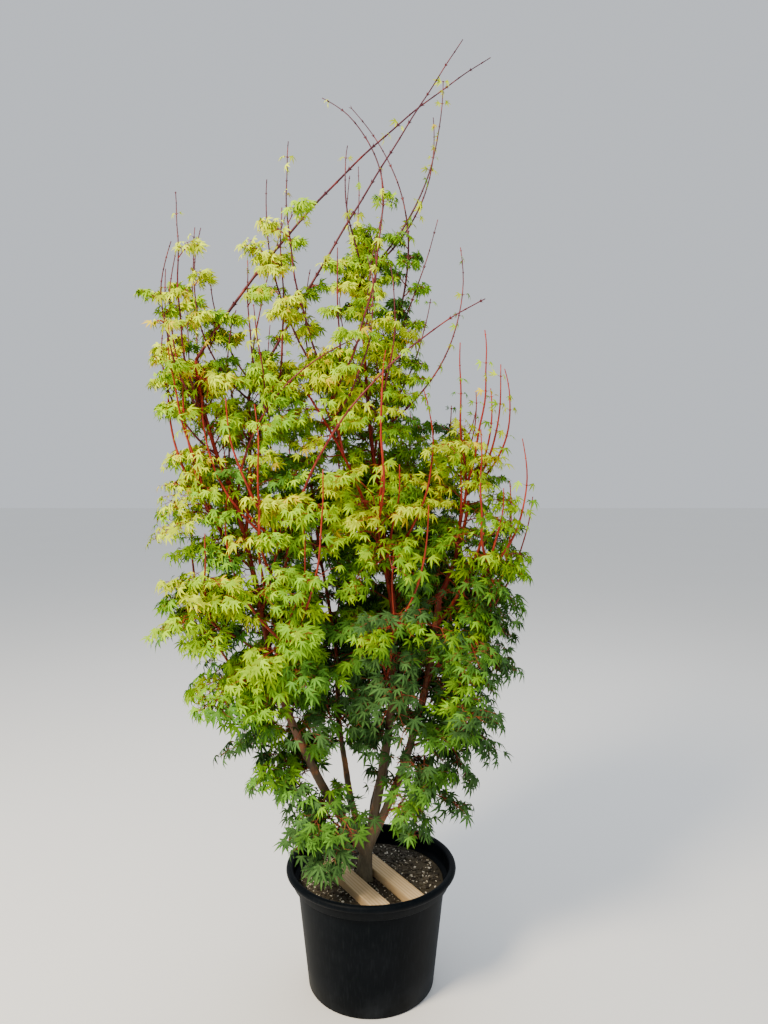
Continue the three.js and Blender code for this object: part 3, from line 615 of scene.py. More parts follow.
@dataclass(frozen=True)
class PotFinish(Finish):
    """Moulded black polypropylene: satin, faintly mottled, dusty at the foot."""

    black: str = "03070c"
    dust: str = "2a2e33"
    dust_top: float = 0.1
    cloud_mm: float = 110.0
    # Scuffs are as fine as hair, and are drawn 5 mm wide so that they show.
    scuff_mm: float = 5.0
    drawn: float = 10.0
    scuff_depth_mm: float = 0.25
    scuff_share: float = 0.16
    gloss: Pair = (0.42, 0.6)

    def paint(self, tree: bpy.types.NodeTree) -> dict:
        """Dust the black by height, and scuff its gloss.

        Args:
            tree: The node tree.

        Returns:
            What feeds the base colour, roughness and normal.
        """
        place = add_node(tree, "TexCoord").outputs["Object"]
        height = add_node(tree, "SeparateXYZ", {}, {"Vector": place}).outputs["Z"]
        cloud = add_node(tree, "TexNoise",
                         {"Scale": per_metre(self.cloud_mm), "Detail": 6.0, "Roughness": 0.6},
                         {"Vector": place})
        foot = add_node(tree, "MapRange",
                        {"From Min": 0.0, "From Max": self.dust_top, "To Min": 0.6, "To Max": 0.0},
                        {"Value": height})
        patchy = add_node(tree, "MapRange", {"From Min": 0.42, "From Max": 0.72}, {"Value": cloud})
        dusty = add_node(tree, "Math", {"operation": "MULTIPLY"}, {0: foot, 1: patchy})
        long = add_node(tree, "Mapping", {"Scale": (1, 1, 1 / self.drawn)}, {"Vector": place})
        scuff = add_node(tree, "TexNoise", {"Scale": per_metre(self.scuff_mm), "Detail": 4.0},
                         {"Vector": long})
        worn = add_node(tree, "MapRange", {"From Min": 0.5, "From Max": 0.75, "To Max": self.scuff_share},
                        {"Value": scuff})
        haze = add_node(tree, "Math", {"operation": "MULTIPLY_ADD", 1: 0.1}, {0: patchy, 2: dusty})
        scuffed = add_node(tree, "Math", {"operation": "ADD", "use_clamp": True}, {0: haze, 1: worn})
        colour = add_node(tree, "Mix", {"data_type": "RGBA", 6: self.black, 7: self.dust}, {0: scuffed})
        gloss = add_node(tree, "MapRange", {"To Min": self.gloss[0], "To Max": self.gloss[1]},
                         {"Value": cloud})
        relief = add_node(tree, "Bump", {"Distance": self.scuff_depth_mm * MM, "Strength": 0.5},
                          {"Height": scuff})
        return {"Base Color": colour.outputs[2], "Roughness": gloss, "Normal": relief}


@dataclass(frozen=True)
class TimberFinish(Finish):
    """Sawn pine: growth rings along the board, a fine sawn fibre and weathered patches."""

    heading: float = 122.0
    ring_mm: float = 9.0
    worn_mm: float = 45.0
    # Sawn fibre is finer than this, and is drawn coarser so that it shows.
    fibre_mm: float = 1.2
    drawn: float = 16.0
    early: str = "c6aa80"
    late: str = "b69a70"
    pale: str = "cfb68e"
    worn: str = "957b58"

    def paint(self, tree: bpy.types.NodeTree) -> dict:
        """Draw the grain along the board and let weather darken it in places.

        Args:
            tree: The node tree.

        Returns:
            What feeds the base colour and the normal.
        """
        place = add_node(tree, "TexCoord").outputs["Object"]
        turned = add_node(tree, "Mapping", {"Rotation": (0, 0, math.radians(-self.heading))},
                          {"Vector": place})
        along = add_node(tree, "Mapping", {"Scale": (1 / self.drawn, 1, 1)}, {"Vector": turned})
        # A wave's bands lie pi / 10 of a unit apart at scale 1.
        grain = add_node(tree, "TexWave",
                         {"bands_direction": "Y", "Scale": per_metre(self.ring_mm) * math.pi / 10,
                          "Distortion": 5.0, "Detail": 2.0, "Detail Scale": 1.2}, {"Vector": along})
        light = add_node(tree, "ValToRGB",
                         {"stops": ((0.0, self.late), (0.4, self.early), (1.0, self.pale))},
                         {"Fac": grain.outputs["Fac"]})
        warp = add_node(tree, "TexNoise", {"Scale": per_metre(self.worn_mm), "Detail": 3.0},
                        {"Vector": along})
        patchy = add_node(tree, "MapRange", {"From Min": 0.45, "From Max": 0.75, "To Max": 0.5},
                          {"Value": warp})
        colour = add_node(tree, "Mix", {"data_type": "RGBA", 7: self.worn}, {0: patchy, 6: light})
        fibre = add_node(tree, "TexNoise", {"Scale": per_metre(self.fibre_mm), "Detail": 3.0},
                         {"Vector": along})
        relief = add_node(tree, "Bump", {"Distance": 0.3 * MM, "Strength": 0.5}, {"Height": fibre})
        return {"Base Color": colour.outputs[2], "Normal": relief}


@dataclass(frozen=True, kw_only=True)
class LooseFinish(Finish):
    """Loose crumbs: each takes its own shade from the attribute, mottled finely."""

    dark: str
    light: str
    grain_mm: float = 3.0
    relief_mm: float = 0.8

    def paint(self, tree: bpy.types.NodeTree) -> dict:
        """Shade each crumb, then mottle it.

        Args:
            tree: The node tree.

        Returns:
            What feeds the base colour and the normal.
        """
        paint = add_node(tree, "Attribute", {"attribute_name": "paint"})
        split = add_node(tree, "SeparateColor", {}, {"Color": paint})
        place = add_node(tree, "TexCoord").outputs["Object"]
        mottle = add_node(tree, "TexNoise", {"Scale": per_metre(self.grain_mm), "Detail": 4.0},
                          {"Vector": place})
        share = add_node(tree, "Math", {"operation": "MULTIPLY_ADD", 1: 0.5, "use_clamp": True},
                         {0: mottle, 2: split.outputs[2]})
        shifted = add_node(tree, "MapRange", {"From Min": 0.2, "From Max": 1.2}, {"Value": share})
        colour = add_node(tree, "Mix", {"data_type": "RGBA", 6: self.dark, 7: self.light}, {0: shifted})
        relief = add_node(tree, "Bump", {"Distance": self.relief_mm * MM}, {"Height": mottle})
        return {"Base Color": colour.outputs[2], "Normal": relief}


@dataclass(frozen=True)
class PaperFinish(Finish):
    """Matt studio paper with the faintest cloud."""

    pale: str = "f1f1ee"
    paler: str = "f4f4f2"
    cloud_mm: float = 1600.0

    def paint(self, tree: bpy.types.NodeTree) -> dict:
        """Give the paper its plain colour.

        Args:
            tree: The node tree.

        Returns:
            What feeds the base colour.
        """
        place = add_node(tree, "TexCoord").outputs["Object"]
        cloud = add_node(tree, "TexNoise", {"Scale": per_metre(self.cloud_mm)}, {"Vector": place})
        colour = add_node(tree, "Mix", {"data_type": "RGBA", 6: self.pale, 7: self.paler}, {0: cloud})
        return {"Base Color": colour.outputs[2]}


# Old bark at the foot: dry, grey-brown with a green cast, finely cracked.
OLD_BARK = BarkFinish("old_bark", roughness=0.8, specular=0.25,
                      stops=((0.0, "605a46"), (0.5, "665c48"), (1.0, "685843")), low=0.31, high=0.48,
                      fleck="38342a", sunny="7c7458", sunny_share=0.4, grain_mm=6, relief_mm=1.2)
# Stems: tan-brown below, warming to coral where they enter the leaves, with orange sunlit patches.
STEM_BARK = BarkFinish("stem_bark", roughness=0.62, specular=0.35,
                       stops=((0.0, "5c5442"), (0.35, "66533e"), (0.7, "7f4930"), (1.0, "9c3f2a")),
                       low=0.4, high=1.15, fleck="50352a", sunny="cc8145", sunny_share=0.5,
                       grain_mm=9, relief_mm=0.7)
# Upper limbs: smooth coral-red bark with a slight gloss.
CORAL_BARK = BarkFinish("coral_bark", roughness=0.48, specular=0.25,
                        stops=((0.0, "93402a"), (0.5, "9c2c1c"), (1.0, "a0261c")), low=0.9, high=1.9,
                        fleck="641f1a", sunny="c94722", sunny_share=0.6, grain_mm=12, relief_mm=0.3)
# Whips: last year's shoots, coral low down and dark purple-red where they harden above.
WHIP_BARK = BarkFinish("whip_bark", roughness=0.42, specular=0.3,
                       stops=((0.0, "97301f"), (0.4, "74252a"), (1.0, "54222e")), low=1.3, high=2.3,
                       fleck="3d1a26", sunny="a23a2c", sunny_share=0.6, grain_mm=30, relief_mm=0.2)
# Twigs and leaf stalks: thin coral-red wood of this year.
TWIG_BARK = BarkFinish("twig_bark", roughness=0.5, specular=0.25,
                       stops=((0.0, "84462f"), (0.4, "943826"), (1.0, "9c2c20")), low=0.45, high=1.8,
                       fleck="64261f", sunny="b9542f", sunny_share=0.4, grain_mm=20, relief_mm=0.2)
# Leaf blades, from the deep green of the shaded inside to the yellow and bronze of the young tips.
# Each spray takes a finish by the light it gets, so these greens hold painted light and shade as well as
# real tints.
LEAF_FINISHES = (
    LeafFinish("leaf_deep_green", 0.6, 0.05, blade="3e6030", vein="648e48", tip="4c702c"),
    LeafFinish("leaf_mid_green", 0.6, 0.05, blade="52842a", vein="7eae42", tip="689228"),
    LeafFinish("leaf_fresh_green", 0.58, 0.05, blade="72a616", vein="9cc838", tip="8aae14"),
    LeafFinish("leaf_lime", 0.58, 0.05, blade="94c000", vein="b8d828", tip="aec400"),
    LeafFinish("leaf_yellow", 0.58, 0.05, blade="bcd400", vein="dcec28", tip="d2c400"),
    LeafFinish("leaf_bronze", 0.58, 0.05, blade="c6b400", vein="dcd028", tip="cc6c14"),
)
BAND_NAMES = ("low", "middle", "high")
# Pot: black polypropylene, moulded, with a soft sheen on its lip.
BLACK_POLYPROPYLENE = PotFinish("black_polypropylene", specular=0.05)
# Battens: sawn pine, matt and open-grained.
SAWN_PINE = TimberFinish("sawn_pine", roughness=0.75, specular=0.2)
# Compost: moist composted bark, dark and dull, with drier paler chips and hard pale grit.
COMPOST_MIX = LooseFinish("compost_mix", roughness=0.95, specular=0.15, dark="1c1812", light="464034")
BARK_CHIP = LooseFinish("bark_chip", roughness=0.85, specular=0.2, dark="221c15", light="585144")
PALE_GRIT = LooseFinish("pale_grit", roughness=0.7, specular=0.3, dark="958a76", light="e6dfcd")
# Studio floor: matt pale paper.
FLOOR_PAPER = PaperFinish("floor_paper", roughness=0.9, specular=0.1)


# Work in Blender's own tools


def deselect_all() -> None:
    """Leave object mode with nothing selected."""
    if bpy.context.object and bpy.context.object.mode != "OBJECT":
        bpy.ops.object.mode_set(mode="OBJECT")
    bpy.ops.object.select_all(action="DESELECT")


def pick(item: bpy.types.Object) -> None:
    """Select one object and make it the active one.

    Args:
        item: The object.
    """
    deselect_all()
    item.select_set(True)
    bpy.context.view_layer.objects.active = item


def apply_modifier(item: bpy.types.Object, kind: str, **settings: object) -> None:
    """Add a modifier with its settings and apply it at once.

    Args:
        item: The object.
        kind: The modifier's type name.
        settings: Its settings by name.
    """
    pick(item)
    modifier = item.modifiers.new(kind.lower(), kind)
    for key, value in settings.items():
        setattr(modifier, key, value)
    bpy.ops.object.modifier_apply(modifier=modifier.name)


def start_circle(name: str, radius: float, height: float, sides: int) -> bpy.types.Object:
    """Add a filled circle in mm and go into edit mode with it all selected.

    Args:
        name: The object's name.
        radius: Its radius.
        height: How high it lies.
        sides: How many corners it has.

    Returns:
        The object, in edit mode.
    """
    deselect_all()
    bpy.ops.mesh.primitive_circle_add(vertices=sides, radius=radius * MM, fill_type="NGON",
                                      location=(0, 0, height * MM))
    item = bpy.context.object
    item.name = name
    bpy.ops.object.transform_apply(location=True, rotation=True, scale=True)
    bpy.ops.object.mode_set(mode="EDIT")
    bpy.ops.mesh.select_mode(type="FACE")
    bpy.ops.mesh.select_all(action="SELECT")
    return item


def extrude_profile(profile: list[Pair]) -> None:
    """Draw the selected round face through a profile, ring by ring.

    Args:
        profile: Radius and height of each ring in mm, the present one first.
    """
    for (radius, height), (next_radius, next_height) in zip(profile, profile[1:]):
        step = (0, 0, (next_height - height) * MM)
        bpy.ops.mesh.extrude_region_move(TRANSFORM_OT_translate={"value": step})
        share = next_radius / radius
        bpy.ops.transform.resize(value=(share, share, 1), center_override=(0, 0, next_height * MM))


def finish_edit(item: bpy.types.Object, material: bpy.types.Material, smooth_degrees: float) -> None:
    """Close edit mode: merge doubles, turn faces outwards, shade and dress the piece.

    Args:
        item: The object in edit mode.
        material: Its finish.
        smooth_degrees: Edges under this angle are shaded smooth.
    """
    bpy.ops.mesh.select_all(action="SELECT")
    bpy.ops.mesh.remove_doubles(threshold=1e-5)
    bpy.ops.mesh.normals_make_consistent(inside=False)
    bpy.ops.object.mode_set(mode="OBJECT")
    item.data.materials.clear()
    item.data.materials.append(material)
    pick(item)
    bpy.ops.object.shade_smooth_by_angle(angle=math.radians(smooth_degrees))


def place_piece(item: bpy.types.Object, nodes: tuple[str, ...]) -> None:
    """Tie a finished piece to the tree's one body, hide the plain solids that it replaces and log its
    triangles.

    Args:
        item: The piece.
        nodes: The plain solids that it replaces.
    """
    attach(item, BODY)
    if nodes:
        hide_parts(*nodes)
    item.data.calc_loop_triangles()
    LOG.info("%s: %d triangles", item.name, len(item.data.loop_triangles))


# Pot, compost and battens


@dataclass
class Pot:
    """Round nursery pot: a tapering wall, a wider band and a rolled lip, moulded in one."""

    base_radius: float = 185
    wall_radius: float = 217
    band_radius: float = 232
    lip_radius: float = 250
    height: float = 354
    band_foot: float = 303
    band_top: float = 333
    wall: float = 3
    floor: float = 4
    foot_round: float = 4
    lip_tube: float = 10.5
    sides: int = 128

    def wall_at(self, height: float) -> float:
        """Give the outer radius of the wall at a height below the band."""
        return self.base_radius + (self.wall_radius - self.base_radius) * height / self.band_foot

    def lip_ring(self, degrees: float) -> Pair:
        """Give a point of the rolled lip, from 0 at its outermost up over the top.

        Args:
            degrees: How far round the roll, counted from outwards.

        Returns:
            Radius and height in mm.
        """
        turned = math.radians(degrees)
        return (self.lip_radius - self.lip_tube + self.lip_tube * math.cos(turned),
                self.height - self.lip_tube + self.lip_tube * math.sin(turned))

    def profile(self) -> list[Pair]:
        """List the rings from the underside's edge, up the outside and down the inside.

        Returns:
            The radius and height of each ring in mm.
        """
        foot = [(self.wall_at(0) - self.foot_round, 0), (self.wall_at(0) - 1.2, 1.2),
                (self.wall_at(self.foot_round), self.foot_round)]
        wall = [(self.wall_at(share * self.band_foot), share * self.band_foot)
                for share in (0.25, 0.5, 0.75, 0.985, 1.0)]
        band = [(self.band_radius - 3, self.band_foot + 2.5), (self.band_radius - 1.5, self.band_foot + 4),
                (self.band_radius + 1.5, self.band_top - 6), (self.band_radius + 4, self.band_top - 1),
                (self.lip_radius - 6, self.height - 2 * self.lip_tube + 0.6)]
        lip = [self.lip_ring(degrees) for degrees in (-45, -22, 0, 22, 45, 68, 90, 112, 135, 158, 180)]
        inner = self.band_radius - self.wall
        inside = [(inner + 2, self.band_top - 4), (inner - 2, self.band_foot + 6),
                  (self.wall_radius - self.wall, self.band_foot - 1),
                  (self.wall_at(self.floor) - self.wall, self.floor + 3),
                  (self.wall_at(self.floor) - self.wall - 3, self.floor)]
        return foot + wall + band + lip + inside

    def build(self) -> None:
        """Extrude the pot ring by ring from its round underside."""
        profile = self.profile()
        item = start_circle("pot_shell", profile[0][0], profile[0][1], self.sides)
        extrude_profile(profile)
        finish_edit(item, BLACK_POLYPROPYLENE.build(), 40)
        place_piece(item, ("pot",))


@dataclass
class Compost:
    """Composted bark filling the pot, lumpy on top, with loose chips and pale grit."""

    level: float = 309.7
    flat_radius: float = 160
    edge_drop: float = 8
    radius: float = 212.5
    foot: float = 5
    foot_radius: float = 181.5
    sides: int = 96
    rings: int = 34
    lump: float = 22
    lump_depth: float = 2.2
    crumb: float = 6
    crumb_depth: float = 1.2
    sunk: float = 1.4
    chips: int = 1500
    chip_sizes: Pair = (5.0, 17.0)
    grit: int = 760
    grit_sizes: Pair = (3.0, 9.0)

    def surface(self, radius: float) -> float:
        """Give the height of the compost at a distance from the pot's axis."""
        share = max(0.0, (radius - self.flat_radius) / (self.radius - self.flat_radius))
        return self.level - self.edge_drop * share

    def build(self) -> None:
        """Extrude the fill, ring its top inwards, make it lumpy and strew chips and grit."""
        item = start_circle("compost_fill", self.foot_radius, self.foot, self.sides)
        rings = [(self.foot_radius, self.foot), (self.radius, self.surface(self.radius))]
        for ring in range(1, self.rings):
            radius = self.radius * (1 - ring / self.rings)
            rings.append((radius, self.surface(radius)))
        extrude_profile(rings)
        finish_edit(item, COMPOST_MIX.build(), 60)
        self.make_lumpy(item)
        item.data.attributes.new("paint", "FLOAT_COLOR", "POINT")
        place_piece(item, ("compost",))
        for name, count, size, finish, seed in (
                ("bark_chips", self.chips, self.chip_sizes, BARK_CHIP, 21),
                ("grit", self.grit, self.grit_sizes, PALE_GRIT, 22)):
            place_piece(self.strew(name, count, size, finish, seed), ())

    def make_lumpy(self, item: bpy.types.Object) -> None:
        """Raise and sink the top by noise, and keep it just under its own level.

        Args:
            item: The fill.
        """
        for vertex in item.data.vertices:
            if vertex.co.z < self.level / 2 * MM:
                continue
            near_wall = math.hypot(vertex.co.x, vertex.co.y) > (self.radius - 3) * MM
            spot, fine = vertex.co / (self.lump * MM), vertex.co / (self.crumb * MM)
            height = noise.noise(Vector((spot.x, spot.y, 0))) * self.lump_depth
            height += noise.noise(Vector((fine.x, fine.y, 9))) * self.crumb_depth
            vertex.co.z += (min(height, 1.0) - self.sunk) * MM * (0.2 if near_wall else 1.0)
        item.data.update()

    def strew(self, name: str, count: int, size: Pair, finish: Finish, seed: int) -> bpy.types.Object:
        """Strew crumbs over the top, each its own small angular lump.

        Args:
            name: The piece's name.
            count: How many crumbs.
            size: Their least and greatest length in mm.
            finish: Their finish.
            seed: The seed of their places.

        Returns:
            The joined piece.
        """
        rng = np.random.default_rng(seed)
        corners = np.array([[-1, -1, -1], [1, -1, -1], [1, 1, -1], [-1, 1, -1],
                            [-1, -1, 1], [1, -1, 1], [1, 1, 1], [-1, 1, 1]], float)
        faces = np.array([[0, 2, 1], [0, 3, 2], [4, 5, 6], [4, 6, 7], [0, 1, 5], [0, 5, 4],
                          [1, 2, 6], [1, 6, 5], [2, 3, 7], [2, 7, 6], [3, 0, 4], [3, 4, 7]])
        crumbs = Gathered()
        for _ in range(count):
            radius = (self.radius - 9) * math.sqrt(rng.random())
            angle = rng.random() * 2 * math.pi
            length = size[0] + (size[1] - size[0]) * rng.random() ** 2.2
            half = np.array([length, length * rng.uniform(0.4, 0.8), length * rng.uniform(0.22, 0.45)]) / 2
            shape = corners * half * rng.uniform(0.55, 1.1, (8, 3))
            turn, tilt = rng.random() * 2 * math.pi, rng.normal(0, 0.22)
            spin = np.array([[math.cos(turn), -math.sin(turn), 0], [math.sin(turn), math.cos(turn), 0],
                             [0, 0, 1]])
            tip = np.array([[1, 0, 0], [0, math.cos(tilt), -math.sin(tilt)],
                            [0, math.sin(tilt), math.cos(tilt)]])
            centre = np.array([radius * math.cos(angle), radius * math.sin(angle),
                               self.surface(radius) - 1.2 + half[2] * 0.5])
            shade = np.tile([0, 0, rng.random()], (8, 1))
            crumbs.add(shape @ tip.T @ spin.T + centre, faces, shade)
        item = crumbs.to_object(name, finish.build())
        item.data.polygons.foreach_set("use_smooth", np.zeros(len(item.data.polygons), dtype=bool))
        return item


@dataclass
class Batten:
    """Sawn pine lath lying on the compost with its near end against the pot."""

    name: str
    near: Pair
    width: float
    length: float
    near_slant: float
    far_slant: float
    heading: float = 122
    thickness: float = 24
    seat: float = 310

    def build(self) -> None:
        """Stretch a cube to the board, slant its ends, round its edges and lay it down."""
        deselect_all()
        bpy.ops.mesh.primitive_cube_add(size=1, location=(0.5, 0, 0.5))
        item = bpy.context.object
        item.name = f"{self.name}_board"
        bpy.ops.object.transform_apply(location=True, rotation=True, scale=True)
        bpy.ops.object.mode_set(mode="EDIT")
        bpy.ops.mesh.select_all(action="SELECT")
        size = (self.length * MM, self.width * MM, self.thickness * MM)
        bpy.ops.transform.resize(value=size, center_override=(0, 0, 0))
        bpy.ops.object.mode_set(mode="OBJECT")
        for vertex in item.data.vertices:
            far = vertex.co.x > 0.5 * self.length * MM
            side = 1 if vertex.co.y > 0 else -1
            vertex.co.x += side * (self.far_slant if far else -self.near_slant) / 2 * MM
        apply_modifier(item, "BEVEL", width=1.4 * MM, segments=3)
        bpy.ops.object.mode_set(mode="EDIT")
        bpy.ops.mesh.select_all(action="SELECT")
        bpy.ops.mesh.subdivide(number_cuts=3)
        bpy.ops.object.mode_set(mode="OBJECT")
        for vertex in item.data.vertices:
            spot = Vector((vertex.co.x / 0.09, vertex.co.y / 0.02, vertex.co.z / 0.02 + self.near[0]))
            vertex.co.y += noise.noise(spot) * 0.5 * MM
            if vertex.co.z > 0.5 * self.thickness * MM:
                vertex.co.z += noise.noise(spot * 1.7) * 0.4 * MM
        item.rotation_euler.z = math.radians(self.heading)
        item.location = (self.near[0] * MM, self.near[1] * MM, self.seat * MM)
        pick(item)
        bpy.ops.object.transform_apply(location=True, rotation=True, scale=True)
        bpy.ops.object.mode_set(mode="EDIT")
        finish_edit(item, SAWN_PINE.build(), 35)
        place_piece(item, (self.name,))


BATTENS = (Batten("batten_left", (34, -208), 52, 300, 6, -10),
           Batten("batten_right", (134, -169), 49, 285, -8, 16))


# Wood: trunk, limbs and whips


@dataclass
class Wood:
    """The tree's limbs and whips, each a tapering round limb along its arc."""

    steps: int = 96
    collar_swell: float = 0.35
    collar_length: float = 1.5
    last_collar_place: float = 0.95
    wander: float = 2.2
    sway_waves: Pair = (150, 260)
    sway_ease: float = 90
    whip_gap: float = 50
    whip_ring: float = 22
    node_swell: float = 0.3
    stub: Pair = (0.16, 78)
    rings: tuple[float, ...] = (0.06, 0.14, 0.24, 0.36, 0.5, 0.66, 0.82, 0.96)
    flare_heading: float = 122
    flare: Pair = (2, 11)
    flare_fade: float = 16
    voxel: float = 1.7
    paths: dict[str, Path] = field(default_factory=dict)
    arcs: dict[str, Arc] = field(default_factory=dict)

    def grow(self) -> None:
        """Work out the path of every limb and whip from the trunk up."""
        for number, arc in enumerate(LIMBS + WHIPS):
            start = self.paths[arc.parent].at(arc.at) if arc.parent else np.array(TRUNK_FOOT)
            self.arcs[arc.name] = arc
            self.paths[arc.name] = self.arc_path(arc, start, 40 + number)

    def arc_path(self, arc: Arc, start: np.ndarray, seed: int) -> Path:
        """Follow an arc, swaying a little as grown wood does.

        Args:
            arc: The limb.
            start: Where it begins, in mm.
            seed: The seed of its sway.

        Returns:
            Its path.
        """
        points = [start]
        for step in range(self.steps):
            share = (step + 0.5) / self.steps
            way = direction(arc.bearing + arc.turn * share, arc.rise + (arc.rise_end - arc.rise) * share)
            points.append(points[-1] + way * arc.length / self.steps)
        places = np.array(points)
        if arc.parent:
            seeded = Seeded(seed)
            travel = np.linspace(0, arc.length, self.steps + 1)
            ease = np.minimum(1, np.minimum(travel, arc.length - travel) / self.sway_ease)
            for axis in (side_of(direction(arc.bearing, arc.rise)), UP * 0.3):
                wave, start_turn = seeded.between(*self.sway_waves), seeded.between(0, 6.28)
                sway = np.sin(travel / wave * 2 * math.pi + start_turn) * self.wander * ease
                places = places + np.outer(sway, axis)
        return Path(places)

    def radius(self, arc: Arc, share: np.ndarray) -> np.ndarray:
        """Taper a limb, with a collar where it leaves its parent.

        Args:
            arc: The limb.
            share: Shares of its length.

        Returns:
            Its radius at each, in mm.
        """
        base, tip = arc.radius
        joins = bool(arc.parent) and arc.at < self.last_collar_place
        fade = np.exp(-share * arc.length / (self.collar_length * base))
        return base + (tip - base) * share + (self.collar_swell * base * fade if joins else 0)

    def limb(self, arc: Arc, spacing: float, sides: int,
             until: float = 1.0) -> tuple[np.ndarray, np.ndarray]:
        """Skin a limb.

        Args:
            arc: The limb.
            spacing: The distance between rings in mm.
            sides: How many sides it has.
            until: The share of its length that is made.

        Returns:
            Vertices and triangles.
        """
        rings = max(4, round(arc.length * until / spacing))
        shares = np.linspace(0, until, rings + 1)
        return tube(self.paths[arc.name], shares, self.radius(arc, shares), sides)

    def whip(self, arc: Arc) -> tuple[np.ndarray, np.ndarray]:
        """Skin a whip, swollen a little at its bud nodes.

        Args:
            arc: The whip.

        Returns:
            Vertices and triangles.
        """
        path = self.paths[arc.name]
        nodes = np.arange(self.whip_gap * 0.6, path.length, self.whip_gap) / path.length
        near = np.concatenate([nodes + offset / path.length for offset in (-4, -1.5, 1.5, 4)])
        even = np.linspace(0, 1, round(arc.length / self.whip_ring))
        shares = np.unique(np.clip(np.concatenate([near, even]), 0, 1))
        away = np.min(np.abs(shares[:, None] - nodes[None, :]), axis=1) * path.length
        radii = self.radius(arc, shares) * (1 + self.node_swell * np.exp(-(away / 2.5) ** 2))
        return tube(path, shares, radii, 7)

    def build_trunk(self) -> None:
        """Extrude the trunk, spread its root flare, fuse the stems' feet on and roughen the bark."""
        arc, path = self.arcs["trunk"], self.paths["trunk"]
        item = start_circle("trunk_bark", arc.radius[0], TRUNK_FOOT[2], 28)
        bpy.ops.transform.translate(value=(TRUNK_FOOT[0] * MM, TRUNK_FOOT[1] * MM, 0))
        radius, place = arc.radius[0], path.at(0)
        for share in self.rings:
            target, wanted = path.at(share), float(self.radius(arc, np.array(share)))
            step = tuple((target - place) * MM)
            bpy.ops.mesh.extrude_region_move(TRANSFORM_OT_translate={"value": step})
            bpy.ops.transform.resize(value=(wanted / radius, wanted / radius, 1),
                                     center_override=tuple(target * MM))
            radius, place = wanted, target
        bpy.ops.mesh.select_all(action="SELECT")
        bpy.ops.mesh.normals_make_consistent(inside=False)
        bpy.ops.object.mode_set(mode="OBJECT")
        self.spread_flare(item)
        stubs = Gathered()
        for stem in LIMBS:
            if stem.parent == "trunk":
                stubs.add(*self.limb(stem, 6, 20, min(self.stub[0], self.stub[1] / stem.length)))
        feet = stubs.to_object("stem_feet", OLD_BARK.build())
        deselect_all()
        feet.select_set(True)
        item.select_set(True)
        bpy.context.view_layer.objects.active = item
        bpy.ops.object.join()
        apply_modifier(item, "REMESH", mode="VOXEL", voxel_size=self.voxel * MM)
        apply_modifier(item, "SMOOTH", factor=0.5, iterations=9)
        roughen(item, 1.5, 9, 3.2)
        roughen(item, 0.6, 3.5, 2)
        self.cut_flat(item)
        item.data.materials.clear()
        item.data.materials.append(OLD_BARK.build())
        pick(item)
        bpy.ops.object.shade_smooth()
        place_piece(item, ("trunk",))

    def spread_flare(self, item: bpy.types.Object) -> None:
        """Spread the trunk's foot into root buttresses, most along the battens.

        Args:
            item: The trunk.
        """
        for vertex in item.data.vertices:
            height = vertex.co.z / MM - TRUNK_FOOT[2]
            out = np.array([vertex.co.x / MM - TRUNK_FOOT[0], vertex.co.y / MM - TRUNK_FOOT[1]])
            turned = math.atan2(out[1], out[0]) - math.radians(self.flare_heading)
            buttress = 0.75 + 0.25 * math.cos(5 * turned + 0.7)
            least, more = self.flare
            spread = (least + more * math.cos(turned) ** 2) * buttress
            spread *= math.exp(-height / self.flare_fade)
            if np.linalg.norm(out) > 5:
                moved = out / np.linalg.norm(out) * spread * MM
                vertex.co.x += moved[0]
                vertex.co.y += moved[1]

    @staticmethod
    def cut_flat(item: bpy.types.Object) -> None:
        """Cut the trunk flat on the compost.

        Args:
            item: The trunk.
        """
        pick(item)
        bpy.ops.object.mode_set(mode="EDIT")
        bpy.ops.mesh.select_all(action="SELECT")
        bpy.ops.mesh.bisect(plane_co=(0, 0, (TRUNK_FOOT[2] + 0.4) * MM), plane_no=(0, 0, 1),
                            clear_inner=True, use_fill=True)
        bpy.ops.object.mode_set(mode="OBJECT")

    def build_limbs(self) -> None:
        """Skin the stems and the coral limbs, each group one piece, and give the bark relief."""
        stems = [arc for arc in LIMBS if arc.parent == "trunk"]
        upper = [arc for arc in LIMBS if arc.parent not in ("", "trunk")]
        for name, arcs, spacing, sides, depth, slot, finish in (
                ("stems_bark", stems, 5, 16, 0.9, "bark_stem", STEM_BARK),
                ("coral_limbs_bark", upper, 7, 10, 0.35, "bark_coral", CORAL_BARK)):
            skins = Gathered()
            for arc in arcs:
                skins.add(*self.limb(arc, spacing, sides))
            item = skins.to_object(name, finish.build())
            roughen(item, depth, 9, 3.5)
            place_piece(item, tuple(arc.name for arc in arcs))


# Foliage


# Lobes of a leaf, each its angle and length: full-grown below, and young with fewer lobes above.
FULL_LOBES = ((-112, 0.4), (-70, 0.74), (-34, 0.93), (0, 1.0), (34, 0.93), (70, 0.74), (112, 0.4))
YOUNG_LOBES = ((-84, 0.58), (-40, 0.9), (0, 1.0), (40, 0.9), (84, 0.58))


